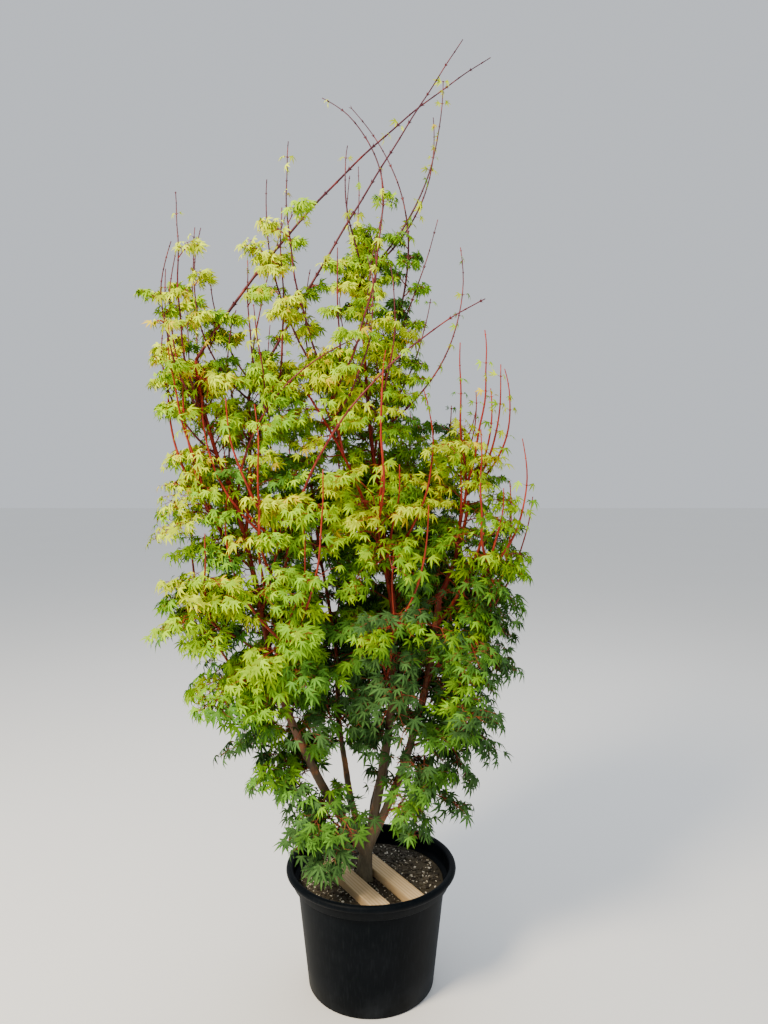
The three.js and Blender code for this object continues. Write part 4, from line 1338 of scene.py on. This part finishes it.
@dataclass
class LeafShape:
    """One palmate leaf of unit length: pointed lobes, folded along their ribs and drooping."""

    seed: int
    lobes: tuple[Pair, ...]
    notch: float = 0.25
    width: float = 0.108
    widest: float = 0.52
    foot_angle: float = 0.45
    curls: Pair = (0.18, 0.55)

    def build(self) -> tuple[np.ndarray, np.ndarray, np.ndarray]:
        """Lay out the lobes.

        Returns:
            Vertices with x along the middle lobe and z up from the blade, triangles, and the
            paint: vein, distance out, and a place for the leaf's own shade.
        """
        seeded = Seeded(self.seed)
        curl, lean = seeded.between(*self.curls), seeded.between(-0.12, 0.12)
        turned = [math.radians(angle + seeded.between(-5, 5)) for angle, _ in self.lobes]
        between = [(near + far) / 2 for near, far in zip(turned, turned[1:])]
        edges = [turned[0] - self.foot_angle, *between, turned[-1] + self.foot_angle]
        places, veins, corners = [[0.0, 0.0, 0.0]], [1.0], []
        for number, angle in enumerate(edges):
            deep = self.notch * (0.45 if number in (0, len(edges) - 1) else seeded.between(0.85, 1.1))
            places.append([deep * math.cos(angle), deep * math.sin(angle), 0.015])
            veins.append(0.0)
        for number, (angle, (_, full)) in enumerate(zip(turned, self.lobes)):
            length = full * seeded.between(0.92, 1.06)
            way = np.array([math.cos(angle), math.sin(angle), 0])
            across = np.array([-way[1], way[0], 0]) * self.width * (0.35 + 0.65 * length)
            middle = way * length * self.widest
            rib, left, right, tip = range(len(places), len(places) + 4)
            places += [middle, middle + across + UP * 0.035, middle - across + UP * 0.035,
                       way * length - UP * 0.05]
            veins += [1.0, 0.0, 0.0, 0.8]
            low, high = 1 + number, 2 + number
            corners += [[0, rib, left], [0, left, high], [0, right, rib], [0, low, right],
                        [rib, tip, left], [rib, right, tip]]
        blade = np.array([list(place) for place in places])
        out = np.hypot(blade[:, 0], blade[:, 1])
        blade[:, 2] -= curl * out ** 2 + lean * blade[:, 1] + 0.1 * np.abs(blade[:, 1])
        return blade, np.array(corners), np.column_stack([veins, out, np.zeros(len(out))])


@dataclass
class Sprig:
    """A twig with what stands on it: its path, radii and the light that its leaves get."""

    path: Path
    radii: Pair
    light: float


@dataclass(frozen=True)
class Fan:
    """How a twig fans out: its length, its leaves' length and how much light it gets."""

    length: float
    leaf: float
    light: float


@dataclass(frozen=True)
class ShootKind:
    """A kind of upright shoot: its radii, lengths and node gap in mm, and its leafiness.

    A node bears leaves with the first chance at the foot and the second at the tip.
    """

    radii: Pair
    lengths: Pair
    gap: float
    leafy: Pair


CORAL_SHOOTS = ShootKind((4.4, 1.5), (280, 540), 38, (0.7, 0.3))
HARDENED_SHOOTS = ShootKind((3.4, 1.3), (360, 640), 30, (1.1, 0.2))


@dataclass
class Crown:
    """All foliage: twigs that spiral up each mass's stem or leave a limb, and fan out in layers."""

    wood: Wood
    limits: tuple[np.ndarray, np.ndarray]
    # The crown's middle line, and the eye that looks at its front.
    middle: Triple = (-40, 20, 0)
    eye: Triple = (38, -2223, 1503)
    # A mass: its stem, how far out its twigs' tips lie, and how far it reaches into the next.
    stem_radii: Pair = (4.2, 1.5)
    stem_end: Pair = (0.15, 0.72)
    stem_bend: float = 0.75
    spiral: float = 137
    edges: Pair = (0.72, 1.22)
    overlap: float = 0.22
    twig_shares: tuple[float, ...] = (1.2, 1.0, 0.82, 0.66, 0.5, 0.36)
    # A twig: how it sways, rises and droops, as shares of its length, and its finer side twigs.
    sway: float = 0.1
    lift: Pair = (0.02, 0.16)
    droop: Pair = (0.04, 0.2)
    twig_radii: Pair = (1.8, 0.9)
    side_radii: Pair = (1.1, 0.7)
    side_places: tuple[float, ...] = (0.28, 0.48, 0.68, 0.86)
    side_missing: float = 0.22
    side_rise: Pair = (-0.35, 0.45)
    side_lean: Pair = (0.5, 1.1)
    side_lengths: Pair = (0.26, 0.55)
    # Leaves: pairs this share of a leaf apart, stalks, sizes, droop, and lengths by height.
    node_gap: float = 0.56
    stalk: float = 0.62
    stalk_sizes: Pair = (0.7, 1.2)
    stalk_radius: float = 0.95
    leaf_sizes: Pair = (0.74, 1.16)
    leaf_droop: Pair = (0.05, 1.9)
    young_length: float = 36
    leaf_lengths: tuple[tuple[float, ...], ...] = ((500, 900, 1300, 1900), (45, 42, 35, 30))
    # Light: how it grows along X, Y and Z over a mass, its chance, and its changes with height.
    # This light is painted into the leaves' colour: lit sprays take lighter finishes and shaded ones deeper.
    light_slope: Triple = (-0.2, -0.14, 0.34)
    light_chance: Pair = (-0.5, 0.4)
    lighter: tuple[tuple[float, ...], ...] = ((1050, 1400), (0, 0.25))
    least_light: tuple[tuple[float, ...], ...] = ((1300, 1900), (-1.0, 0.1))
    tone_chance: float = 0.14
    tone_edges: tuple[float, ...] = (-0.4, 0.0, 0.36, 0.8)
    bronze_share: float = 0.1
    bands: Pair = (1080, 1430)
    # Twigs off the limbs between masses, closer along the column's limb and short at its top.
    filler_gap: float = 46
    filler_first: float = 40
    filler_lengths: Pair = (95, 190)
    filler_shares: tuple[tuple[float, ...], ...] = ((0, 1000, 1800, 1950), (0, 1, 1, 0.48))
    column_limb: str = "upper_centre"
    column_gap: float = 25
    filler_edges: Pair = (1.7, 0.95)
    filler_edge_heights: Pair = (1700, 1880)
    filler_foot: float = 440
    filler_fade: float = 240
    # Room for the pot, the compost and the wood that shows in front.
    skirt_feet: Pair = (368, 450)
    skirt_split: float = 70
    open_foot: Triple = (-62, 48, 540)
    bare_stems: tuple[str, ...] = ("left_bough", "middle_stem", "right_stem")
    bare_top: float = 830
    bare_side: float = 44
    glimpsed: tuple[str, ...] = ("centre_stem", "upper_centre", "upper_front", "left_outer", "left_inner",
                                 "left_tip", "right_stem", "right_top", "right_fork", "middle_top")
    glimpse: Pair = (170, 0.6)
    glimpse_side: float = 33
    glimpse_top: float = 1840
    bare_share: float = 0.8
    # Twigs into the open pockets inside the crown.
    gap_step: float = 118
    gap_space: Pair = (0.95, 1.6)
    gap_reach: Pair = (80, 260)
    enclosed: Pair = (2.05, 2.5)
    gap_heights: Pair = (700, 1780)
    # Whips and shoots: which shoots are hardened, and the leafy tufts along them.
    hardened: float = 1600
    whip_leafy: Pair = (0.5, 0.03)
    whip_leaf: float = 28
    bud_size: float = 3.1
    tufted: float = 0.36
    whip_tufts: float = 0.6
    shoot_tufted: Pair = (0.3, 0.72)
    shoot_tufts: float = 0.45
    tuft_gap: float = 34
    tuft_lengths: Pair = (30, 70)
    tuft_leaf: float = 29
    tuft_shade: float = 0.45
    twigs: Gathered = field(default_factory=Gathered)
    stalks: Gathered = field(default_factory=Gathered)
    shoots: Gathered = field(default_factory=Gathered)
    whips: Gathered = field(default_factory=Gathered)
    blades: dict[tuple[int, str], Gathered] = field(default_factory=dict)
    leaf_count: int = 0

    def __post_init__(self) -> None:
        """Lay out the leaf shapes and the masses' spaces."""
        self.full = [LeafShape(70 + number, FULL_LOBES).build() for number in range(8)]
        self.young = [LeafShape(80 + number, YOUNG_LOBES).build() for number in range(8)]
        self.centres = np.array([mass.centre for mass in MASSES], float)
        self.reaches = np.array([mass.reach for mass in MASSES], float)
        self.bare_wood = self.clear_wood()

    def scaled(self, point: np.ndarray) -> np.ndarray:
        """Give the distance of a point from every mass, as a share of its reach."""
        return np.sqrt((((point - self.centres) / self.reaches) ** 2).sum(axis=1))

    def in_space(self, number: int, point: np.ndarray, edge: float) -> bool:
        """Tell whether a point lies in a mass's own space, or only a little way into the next.

        Args:
            number: The mass.
            point: The point in mm.
            edge: How far out the space goes, as a share of the reach.

        Returns:
            True if it is near enough, and not well inside another mass.
        """
        away = self.scaled(point)
        own = away[number]
        away[number] = math.inf
        return bool(own < edge and away.min() > own - self.overlap)

    def light_at(self, point: np.ndarray, seeded: Seeded) -> float:
        """Judge how light a spray is, from the nearest masses and its side of them.

        Args:
            point: The spray's place in mm.
            seeded: The numbers for its own change.

        Returns:
            The light, from about -1 in deep shade to 1 at the sunlit tips.
        """
        away = self.scaled(point)
        weights = 1 / (0.15 + away) ** 4
        tone = float((weights * [mass.tone.value for mass in MASSES]).sum() / weights.sum())
        nearest = int(away.argmin())
        out = (point - self.centres[nearest]) / self.reaches[nearest]
        light = tone + float(out @ self.light_slope) + seeded.between(*self.light_chance)
        light += float(np.interp(point[2], *self.lighter))
        return max(light, float(np.interp(point[2], *self.least_light)))

    def outward(self, point: np.ndarray) -> np.ndarray:
        """Give the level way out of the crown at a point."""
        return flattened(point - np.array(self.middle))

    def stem_path(self, mass: Mass) -> Path:
        """Bend a mass's stem from its host through the centre towards its top.

        Args:
            mass: The mass.

        Returns:
            The stem's path.
        """
        start = self.wood.paths[mass.host].at(mass.at)
        centre = np.array(mass.centre, float)
        onward = centre - start
        aside, above = self.stem_end
        end = centre + flattened(onward) * mass.reach[0] * aside + UP * mass.reach[2] * above
        bend = start + onward * self.stem_bend
        shares = np.linspace(0, 1, 33)[:, None]
        return Path((1 - shares) ** 2 * start + 2 * shares * (1 - shares) * bend + shares ** 2 * end)

    def add_sprig(self, sprig: Sprig, sides: int, rings: int) -> None:
        """Skin a twig with few faces.

        Args:
            sprig: The twig.
            sides: How many sides it has.
            rings: How many rings it has.
        """
        shares = np.linspace(0, 1, rings)
        radii = sprig.radii[0] + (sprig.radii[1] - sprig.radii[0]) * shares
        self.twigs.add(*tube(sprig.path, shares, radii, sides))

    def twig_path(self, base: np.ndarray, along: np.ndarray, length: float, seeded: Seeded) -> Path:
        """Arch a twig: it rises a little, sways, and droops at its end.

        Args:
            base: Where it starts.
            along: Its first direction.
            length: Its length in mm.
            seeded: The numbers for its sway.

        Returns:
            Its path.
        """
        shares = np.linspace(0, 1, 9)
        sway = side_of(along) * seeded.between(-self.sway, self.sway)
        lift, droop = seeded.between(*self.lift), seeded.between(*self.droop)
        points = [base + along * length * s + UP * length * (lift * math.sin(math.pi * s) - droop * s * s)
                  + sway * length * math.sin(2.4 * s) for s in shares]
        return Path(np.array(points))

    def is_out(self, path: Path) -> bool:
        """Tell whether a twig would pass the crown's limits."""
        low, high = path.points.min(axis=0), path.points.max(axis=0)
        return bool((low < self.limits[0]).any() or (high > self.limits[1]).any())

    def clear_wood(self) -> np.ndarray:
        """List the wood that shows: the lower stems, and stretches of the limbs above them.

        Returns:
            A row for each point: its place in mm, and how far to its sides the leaves stay clear.
        """
        rows = []
        for name in dict.fromkeys(self.bare_stems + self.glimpsed):
            path = self.wood.paths[name]
            for place in np.arange(0, path.length, 12):
                point = path.at(place / path.length)
                if name in self.bare_stems and point[2] < self.bare_top:
                    rows.append([*point, self.bare_side])
                elif name in self.glimpsed and point[2] < self.glimpse_top \
                        and (point[2] / self.glimpse[0]) % 1 < self.glimpse[1]:
                    rows.append([*point, self.glimpse_side])
        return np.array(rows)

    def hides_stem(self, place: np.ndarray) -> bool:
        """Tell whether a leaf hangs in front of wood that shows, for an eye in front of the tree.

        Args:
            place: The leaf's middle in mm.

        Returns:
            True if it hides some of that wood.
        """
        eye = np.array(self.eye)
        shares = (self.bare_wood[:, 1] - eye[1]) / (place[1] - eye[1])
        seen = eye + np.outer(shares, place - eye)
        away = np.hypot(seen[:, 0] - self.bare_wood[:, 0], seen[:, 2] - self.bare_wood[:, 2])
        return bool(((away < self.bare_wood[:, 3]) & (shares > 1)).any())

    def has_room(self, places: np.ndarray, palm: np.ndarray, seeded: Seeded) -> bool:
        """Tell whether a leaf stays in the crown's limits and clear of the pot and the bare stems.

        Args:
            places: The leaf's vertices in mm.
            palm: Where its blade begins.
            seeded: The numbers that spare a few leaves in front of a bare stem.

        Returns:
            True if the leaf may grow.
        """
        least, most = places.min(axis=0), places.max(axis=0)
        inside = (least > self.limits[0]).all() and (most < self.limits[1]).all()
        low, high, top = self.open_foot
        bare = low < palm[0] < high and palm[2] < top
        foot = self.skirt_feet[int(palm[0] > self.skirt_split)]
        thinned = seeded.number() < self.bare_share and self.hides_stem(places.mean(axis=0))
        return bool(inside and not bare and not thinned and least[2] > foot)

    def add_leaf(self, root: np.ndarray, out: np.ndarray, length: float, light: float,
                 seeded: Seeded) -> None:
        """Hang one leaf on its stalk, if it has room.

        Args:
            root: Where the stalk leaves the twig.
            out: The way that the stalk takes.
            length: From the blade's foot to the tip of its middle lobe, in mm.
            light: How light its spray is.
            seeded: The numbers for its own change.
        """
        facing = self.outward(root)
        stalk = unit(out + UP * 0.12 + seeded.vector() * 0.14)
        palm = root + stalk * length * self.stalk * seeded.between(*self.stalk_sizes)
        level = unit(flattened(out) * 0.8 + facing * 0.35 + seeded.vector() * [0.6, 0.6, 0])
        heading = unit(level - UP * seeded.between(*self.leaf_droop))
        upward = UP * 0.7 + facing * 0.6 + seeded.vector() * 0.6
        normal = unit(upward - heading * float(upward @ heading))
        side = np.cross(normal, heading)
        shapes = self.young if length < self.young_length else self.full
        blade, corners, paint = shapes[int(seeded.number() * len(shapes))]
        size = length * seeded.between(*self.leaf_sizes)
        places = palm + size * (np.outer(blade[:, 0], heading) + np.outer(blade[:, 1], side)
                                + np.outer(blade[:, 2], normal))
        if not self.has_room(places, palm, seeded):
            return
        own = paint.copy()
        own[:, 2] = seeded.number()
        tone = self.pick_tone(light + seeded.between(-self.tone_chance, self.tone_chance), seeded)
        band = sum(palm[2] > height for height in self.bands)
        self.blades.setdefault((tone, band), Gathered()).add(places, corners, own)
        self.add_stalk(root, palm)
        self.leaf_count += 1

    def add_stalk(self, root: np.ndarray, palm: np.ndarray) -> None:
        """Make a leaf's stalk as a slender three-sided needle.

        Args:
            root: Where it leaves the twig.
            palm: Where the blade begins.
        """
        way = unit(palm - root)
        side = side_of(way)
        ring = [root + turned_about(side, way, turn) * self.stalk_radius for turn in (0, 120, 240)]
        faces = np.array([[0, 1, 3], [1, 2, 3], [2, 0, 3], [0, 2, 1]])
        self.stalks.add(np.array([*ring, palm + way]), faces)

    def pick_tone(self, light: float, seeded: Seeded) -> int:
        """Choose a leaf finish by its light, as painted light and shade: a few of the lightest are bronze.

        Args:
            light: The spray's light.
            seeded: The seeded numbers.

        Returns:
            The finish's number.
        """
        for number, most in enumerate(self.tone_edges):
            if light < most:
                return number
        return len(self.tone_edges) + int(seeded.number() < self.bronze_share)

    def dress_twig(self, sprig: Sprig, first: float, length: float, seeded: Seeded) -> None:
        """Stand leaves on a twig in opposite pairs, smaller towards its tip.

        Args:
            sprig: The twig.
            first: The share of the twig where the pairs begin.
            length: The leaves' length in mm.
            seeded: The seeded numbers.
        """
        pairs = max(1, round(sprig.path.length * (1 - first) / (self.node_gap * length)))
        for pair in range(pairs + 1):
            share = first + (1 - first) * pair / pairs
            root, way = sprig.path.at(share), sprig.path.way(share)
            side = unit(np.cross(way, UP) + seeded.vector() * 0.35)
            for sign in (1, -1):
                out = unit(side * sign + way * (0.5 if pair < pairs else 1.1))
                self.add_leaf(root, out, length * (1.06 - 0.26 * share), sprig.light, seeded)

    def grow_fan(self, base: np.ndarray, along: np.ndarray, fan: Fan, seeded: Seeded) -> None:
        """Grow a twig whose finer side twigs fan out level, and dress them all with leaves.

        Args:
            base: Where the twig starts.
            along: Its first direction.
            fan: Its length, leaves and light.
            seeded: The seeded numbers.
        """
        path = self.twig_path(base, along, fan.length, seeded)
        if self.is_out(path):
            return
        sprig = Sprig(path, self.twig_radii, fan.light)
        self.add_sprig(sprig, 4, 4)
        self.dress_twig(sprig, 0.6, fan.leaf, seeded)
        for place in self.side_places:
            way = path.way(place)
            level = unit(np.cross(way, UP))
            for sign in (1, -1):
                if seeded.number() < self.side_missing:
                    continue
                rise = UP * seeded.between(*self.side_rise)
                side_way = unit(level * sign + way * seeded.between(*self.side_lean) + rise)
                side_length = fan.length * seeded.between(*self.side_lengths) * (1.15 - 0.5 * place)
                side_path = self.twig_path(path.at(place), side_way, side_length, seeded)
                if self.is_out(side_path):
                    continue
                side_light = fan.light + seeded.between(-0.12, 0.12)
                side_sprig = Sprig(side_path, self.side_radii, side_light)
                self.add_sprig(side_sprig, 3, 3)
                self.dress_twig(side_sprig, 0.5, fan.leaf * 0.95, seeded)

    def grow_mass(self, number: int) -> None:
        """Grow one mass: its stem, twigs in a spiral up it, and a tuft at its top.

        Args:
            number: The mass.
        """
        mass = MASSES[number]
        seeded = Seeded(100 + number)
        stem = self.stem_path(mass)
        self.add_sprig(Sprig(stem, self.stem_radii, 0), 6, 12)
        shares = np.linspace(0, 1, 60)
        entry = next(s for s in shares if self.scaled(stem.at(s))[number] < 0.9)
        for level in range(mass.twigs):
            share = entry + (0.98 - entry) * (level + 0.4) / mass.twigs
            base, way = stem.at(share), stem.way(share)
            edge = seeded.between(*self.edges) * mass.fill
            lean = mass.lean * seeded.between(0.5, 1.5) * (0.1 + 1.2 * level / mass.twigs)
            for attempt in range(9):
                turn = level * self.spiral + (attempt + seeded.number()) * 40
                along = unit(turned_about(side_of(way), way, turn) + way * lean)
                length = self.twig_length(number, base, along, edge)
                if length:
                    light = self.light_at(base + along * length * 0.8, seeded)
                    self.grow_fan(base, along, Fan(length, mass.leaf, light), seeded)
                    break
        top = Sprig(Path(np.array([stem.at(0.86), stem.at(0.93), stem.at(1.0)])), (1.5, 1.2),
                    self.light_at(stem.at(1), seeded))
        self.dress_twig(top, 0.2, mass.leaf, seeded)

    def twig_length(self, number: int, base: np.ndarray, along: np.ndarray, edge: float) -> float:
        """Find the longest twig that still ends in the mass's space.

        Args:
            number: The mass.
            base: Where the twig starts.
            along: Its direction.
            edge: How far out its tip may lie, as a share of the reach.

        Returns:
            Its length in mm, or 0 where none fits.
        """
        for share in self.twig_shares:
            length = share * min(MASSES[number].reach)
            if self.in_space(number, base + along * length, edge):
                return length
        return 0.0

    def leaf_at(self, height: float) -> float:
        """Give the length of a leaf at a height: large low down and small at the top."""
        return float(np.interp(height, *self.leaf_lengths))

    def fill_between(self, arc: Arc, seed: int) -> None:
        """Grow leafy twigs off a limb where it passes between masses, so that they close up.

        Args:
            arc: The limb.
            seed: The seed of its twigs.
        """
        seeded = Seeded(seed)
        path = self.wood.paths[arc.name]
        gap = self.column_gap if arc.name == self.column_limb else self.filler_gap
        for number, place in enumerate(np.arange(self.filler_first, arc.length, gap)):
            share = place / arc.length
            base, way = path.at(share), path.way(share)
            if seeded.number() > min(1.0, (base[2] - self.filler_foot) / self.filler_fade):
                continue
            along = unit(turned_about(side_of(way), way, number * self.spiral + seeded.between(-30, 30))
                         + way * seeded.between(0.2, 0.8))
            length = seeded.between(*self.filler_lengths) * np.interp(base[2], *self.filler_shares)
            tip = base + along * length
            if self.scaled(tip).min() > np.interp(tip[2], self.filler_edge_heights, self.filler_edges):
                continue
            leaf = self.leaf_at(base[2])
            # Twigs between the masses are painted a little deeper, as painted shade.
            self.grow_fan(base, along, Fan(length, leaf, self.light_at(tip, seeded) - 0.08), seeded)

    def close_gaps(self) -> None:
        """Grow leafy twigs from the nearest wood into the crown's open pockets."""
        seeded = Seeded(444)
        lines = [self.stem_path(mass) for mass in MASSES]
        lines += [self.wood.paths[arc.name] for arc in LIMBS[1:]]
        shares = np.linspace(0.05, 1, 20)
        wood = np.array([line.at(share) for line in lines for share in shares])
        low, high = self.limits
        steps = [np.arange(low[axis], high[axis], self.gap_step) for axis in (0, 1)]
        for x in steps[0]:
            for y in steps[1]:
                for z in np.arange(*self.gap_heights, self.gap_step):
                    tip = np.array([x, y, z]) + seeded.vector() * self.gap_step * 0.4
                    away = np.sort(self.scaled(tip))
                    enclosed = away[2] < self.enclosed[int(y > 0)]
                    open_here = enclosed and self.gap_space[0] < away[0] < self.gap_space[1]
                    base = wood[int(np.linalg.norm(wood - tip, axis=1).argmin())]
                    length = float(np.linalg.norm(tip - base))
                    if not open_here or not self.gap_reach[0] < length < self.gap_reach[1]:
                        continue
                    # Twigs in the pockets inside the crown are painted a little deeper, as painted shade.
                    fan = Fan(length, self.leaf_at(z), self.light_at(tip, seeded) - 0.1)
                    self.grow_fan(base, unit(tip - base), fan, seeded)

    @staticmethod
    def add_buds(gathered: Gathered, place: np.ndarray, way: np.ndarray, size: float,
                 turn: float) -> None:
        """Set a pair of pointed buds at a node.

        Args:
            gathered: The piece that they go in.
            place: The node.
            way: The whip's direction there.
            size: Their size in mm.
            turn: How far the pair is turned about the whip, in degrees.
        """
        faces = np.array([[0, 1, 4], [1, 2, 4], [2, 3, 4], [3, 0, 4], [0, 2, 1], [0, 3, 2]])
        for sign in (0, 180):
            out = turned_about(side_of(way), way, turn + sign)
            foot, tip = place + out * size * 0.4, place + out * size * 1.5 + way * size * 1.9
            side = np.cross(out, way)
            ring = [foot + side * size * 0.6, foot + way * size * 1.1, foot - side * size * 0.6,
                    foot - way * size * 0.6]
            gathered.add(np.array([*ring, tip]), faces)

    def dress_nodes(self, gathered: Gathered, path: Path, gap: float, leafy: Pair, leaf: float,
                    size: float, seeded: Seeded) -> None:
        """Set buds at every node of a whip or shoot, and small leaf pairs at some.

        Args:
            gathered: The piece that the buds go in.
            path: The whip.
            gap: The distance between its nodes in mm.
            leafy: How likely a node bears leaves at the foot and at the tip.
            leaf: The leaves' length in mm.
            size: The buds' size in mm.
            seeded: The seeded numbers.
        """
        for number, place_mm in enumerate(np.arange(gap * 0.6, path.length, gap)):
            share = place_mm / path.length
            place, way = path.at(share), path.way(share)
            self.add_buds(gathered, place, way, size * (1.1 - 0.4 * share), 90 * number)
            if seeded.number() > leafy[0] + (leafy[1] - leafy[0]) * share:
                continue
            out = turned_about(side_of(way), way, 90 * number + seeded.between(-20, 20))
            light = self.light_at(place, seeded) - 0.1
            for sign in (1, -1):
                length = leaf * seeded.between(0.75, 1.15) * (1.1 - 0.4 * share)
                self.add_leaf(place, unit(out * sign + way * 0.4), length, light, seeded)

    def grow_whip(self, arc: Arc, seed: int) -> None:
        """Skin a whip with its buds and few small leaves.

        Args:
            arc: The whip.
            seed: The seed of its leaves.
        """
        self.whips.add(*self.wood.whip(arc))
        path = self.wood.paths[arc.name]
        self.dress_nodes(self.whips, path, self.wood.whip_gap, self.whip_leafy, self.whip_leaf,
                         arc.radius[0] * 0.6 + 2.8, Seeded(seed))
        self.add_tufts(path, (30 / path.length, self.tufted), self.whip_tufts, Seeded(seed + 50))

    def add_tufts(self, path: Path, span: Pair, chance: float, seeded: Seeded) -> None:
        """Grow short leafy twigs along part of a whip or shoot.

        Args:
            path: The whip.
            span: The shares of its length between which they stand.
            chance: How likely there is one at each step along it.
            seeded: The seeded numbers.
        """
        first, last = span[0] * path.length, span[1] * path.length
        for number, place in enumerate(np.arange(first, last, self.tuft_gap)):
            if seeded.number() > chance:
                continue
            base, way = path.at(place / path.length), path.way(place / path.length)
            along = unit(turned_about(side_of(way), way, number * self.spiral) + way * 0.8)
            length = seeded.between(*self.tuft_lengths)
            fan = Fan(length, self.tuft_leaf, self.light_at(base, seeded) - self.tuft_shade)
            self.grow_fan(base, along, fan, seeded)

    def grow_shoots(self, number: int) -> None:
        """Grow upright coral shoots out of a mass: leafy below, bare and budded at the tip.

        Args:
            number: The mass.
        """
        mass = MASSES[number]
        seeded = Seeded(300 + number)
        stem = self.stem_path(mass)
        away = self.outward(np.array(mass.centre, float))
        facing = math.degrees(math.atan2(away[1], away[0]))
        hardened = mass.centre[2] > self.hardened
        piece, kind = (self.whips, HARDENED_SHOOTS) if hardened else (self.shoots, CORAL_SHOOTS)
        for turn in range(mass.shoots):
            for _ in range(6):
                start = stem.at(seeded.between(0.15, 0.8))
                bearing = facing + seeded.between(-110, 110)
                arc = Arc("", "-", 0, bearing, seeded.between(-75, 75), seeded.between(28, 55),
                          seeded.between(80, 112), seeded.between(*kind.lengths), kind.radii)
                path = self.wood.arc_path(arc, start, 500 + 10 * number + turn)
                if not self.is_out(path):
                    break
            else:
                continue
            shares = np.linspace(0, 1, 20)
            radii = kind.radii[0] + (kind.radii[1] - kind.radii[0]) * shares
            piece.add(*tube(path, shares, radii, 5))
            self.dress_nodes(piece, path, kind.gap, kind.leafy, mass.leaf * 0.9, self.bud_size, seeded)
            if hardened and mass.host != self.column_limb:
                self.add_tufts(path, self.shoot_tufted, self.shoot_tufts, Seeded(700 + 10 * number + turn))

    def build(self) -> None:
        """Grow every mass, limb side, whip and shoot, and make the joined pieces."""
        for number in range(len(MASSES)):
            self.grow_mass(number)
            self.grow_shoots(number)
        for number, arc in enumerate(LIMBS[1:]):
            self.fill_between(arc, 600 + number)
        self.close_gaps()
        for number, arc in enumerate(WHIPS):
            self.grow_whip(arc, 900 + number)
        for gathered, name, finish, slot, nodes in (
                (self.whips, "whips_bark", WHIP_BARK, "bark_whip", tuple(arc.name for arc in WHIPS)),
                (self.shoots, "upright_shoots", CORAL_BARK, "bark_coral", ()),
                (self.twigs, "twigs", TWIG_BARK, "bark_coral", ()),
                (self.stalks, "leaf_stalks", TWIG_BARK, "bark_coral", ())):
            place_piece(gathered.to_object(name, finish.build()), nodes)
        nodes = tuple(f"foliage_{mass.name}" for mass in MASSES)
        for (tone, band), gathered in sorted(self.blades.items()):
            name = LEAF_FINISHES[tone].name.replace("leaf_", "leaves_")
            item = gathered.to_object(f"{name}_{BAND_NAMES[band]}", LEAF_FINISHES[tone].build())
            place_piece(item, nodes)
        LOG.info("%d leaves", self.leaf_count)


# Studio


# Lamps: each its name, place in metres, side in metres, power in watts and colour.
LAMPS = (
    ("key_lamp", (-2.45, -2.55, 4.1), 1.2, 408, "ffeed2"),
    ("sky_lamp", (0.6, 2.2, 4.6), 3.0, 90, "eaf2ff"),
)


@dataclass
class Studio:
    """Plain pale floor, soft lamps, and the camera where the photograph was taken."""

    eye: Triple = (0.038, -2.223, 1.503)
    pitch: float = 2.96
    focal_px: float = 769.0
    image_height_px: float = 1024.0
    sensor: float = 36.0
    aim: Triple = (0, 0, 1.1)
    room_colour: str = "e4e9f0"
    room_strength: float = 0.88

    def build(self) -> None:
        """Lay the floor, hang the lamps and set the camera."""
        self.lay_floor()
        for lamp in LAMPS:
            self.hang_lamp(*lamp)
        self.light_world()
        self.set_camera()

    def lay_floor(self) -> None:
        """Lay a wide plain floor."""
        deselect_all()
        bpy.ops.mesh.primitive_plane_add(size=60, location=(0, 0, -0.0005))
        floor = bpy.context.object
        floor.name = "studio_floor"
        bpy.ops.object.transform_apply(location=True, rotation=True, scale=True)
        floor.data.materials.append(FLOOR_PAPER.build())
        floor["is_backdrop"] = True

    def hang_lamp(self, name: str, place: Triple, size: float, power: float, colour: str) -> None:
        """Hang a square soft lamp that points at the crown.

        Args:
            name: Its name.
            place: Where it hangs, in metres.
            size: Its side in metres.
            power: Its power in watts.
            colour: Its sRGB hex colour.
        """
        lamp = bpy.data.lights.new(name, "AREA")
        lamp.size = size
        lamp.energy = power
        lamp.color = linear(colour)[:3]
        item = bpy.data.objects.new(name, lamp)
        item.location = place
        aim = Vector(self.aim) - Vector(place)
        item.rotation_euler = aim.to_track_quat("-Z", "Y").to_euler()
        bpy.context.scene.collection.objects.link(item)

    def light_world(self) -> None:
        """Fill the room with even pale light."""
        world = bpy.data.worlds.new("studio_room")
        world.use_nodes = True
        background = world.node_tree.nodes["Background"]
        background.inputs["Color"].default_value = linear(self.room_colour)
        background.inputs["Strength"].default_value = self.room_strength
        bpy.context.scene.world = world

    def set_camera(self) -> None:
        """Set the camera at the photograph's place, pitch and viewing angle."""
        lens = bpy.data.cameras.new("photo_camera")
        lens.sensor_width = self.sensor
        lens.lens = self.focal_px / self.image_height_px * self.sensor
        item = bpy.data.objects.new("photo_camera", lens)
        item.location = self.eye
        item.rotation_euler = (math.radians(90 - self.pitch), 0, 0)
        bpy.context.scene.collection.objects.link(item)
        bpy.context.scene.camera = item


def listed(bounds: tuple) -> list[list[float]]:
    """Give a box as plain lists of numbers."""
    return [[float(value) for value in corner] for corner in bounds]


def main() -> None:
    """Build the studio, the pot and the tree in order."""
    logging.basicConfig(level=logging.INFO, format="%(name)s: %(message)s")
    solid_box = listed(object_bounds())
    Studio().build()
    Pot().build()
    Compost().build()
    for batten in BATTENS:
        batten.build()
    wood = Wood()
    wood.grow()
    wood.build_trunk()
    wood.build_limbs()
    limits = (np.array(solid_box[0]) / MM - LEAF_SPARE, np.array(solid_box[1]) / MM + LEAF_SPARE)
    Crown(wood, limits).build()
    deselect_all()


if __name__ == "__main__":
    main()
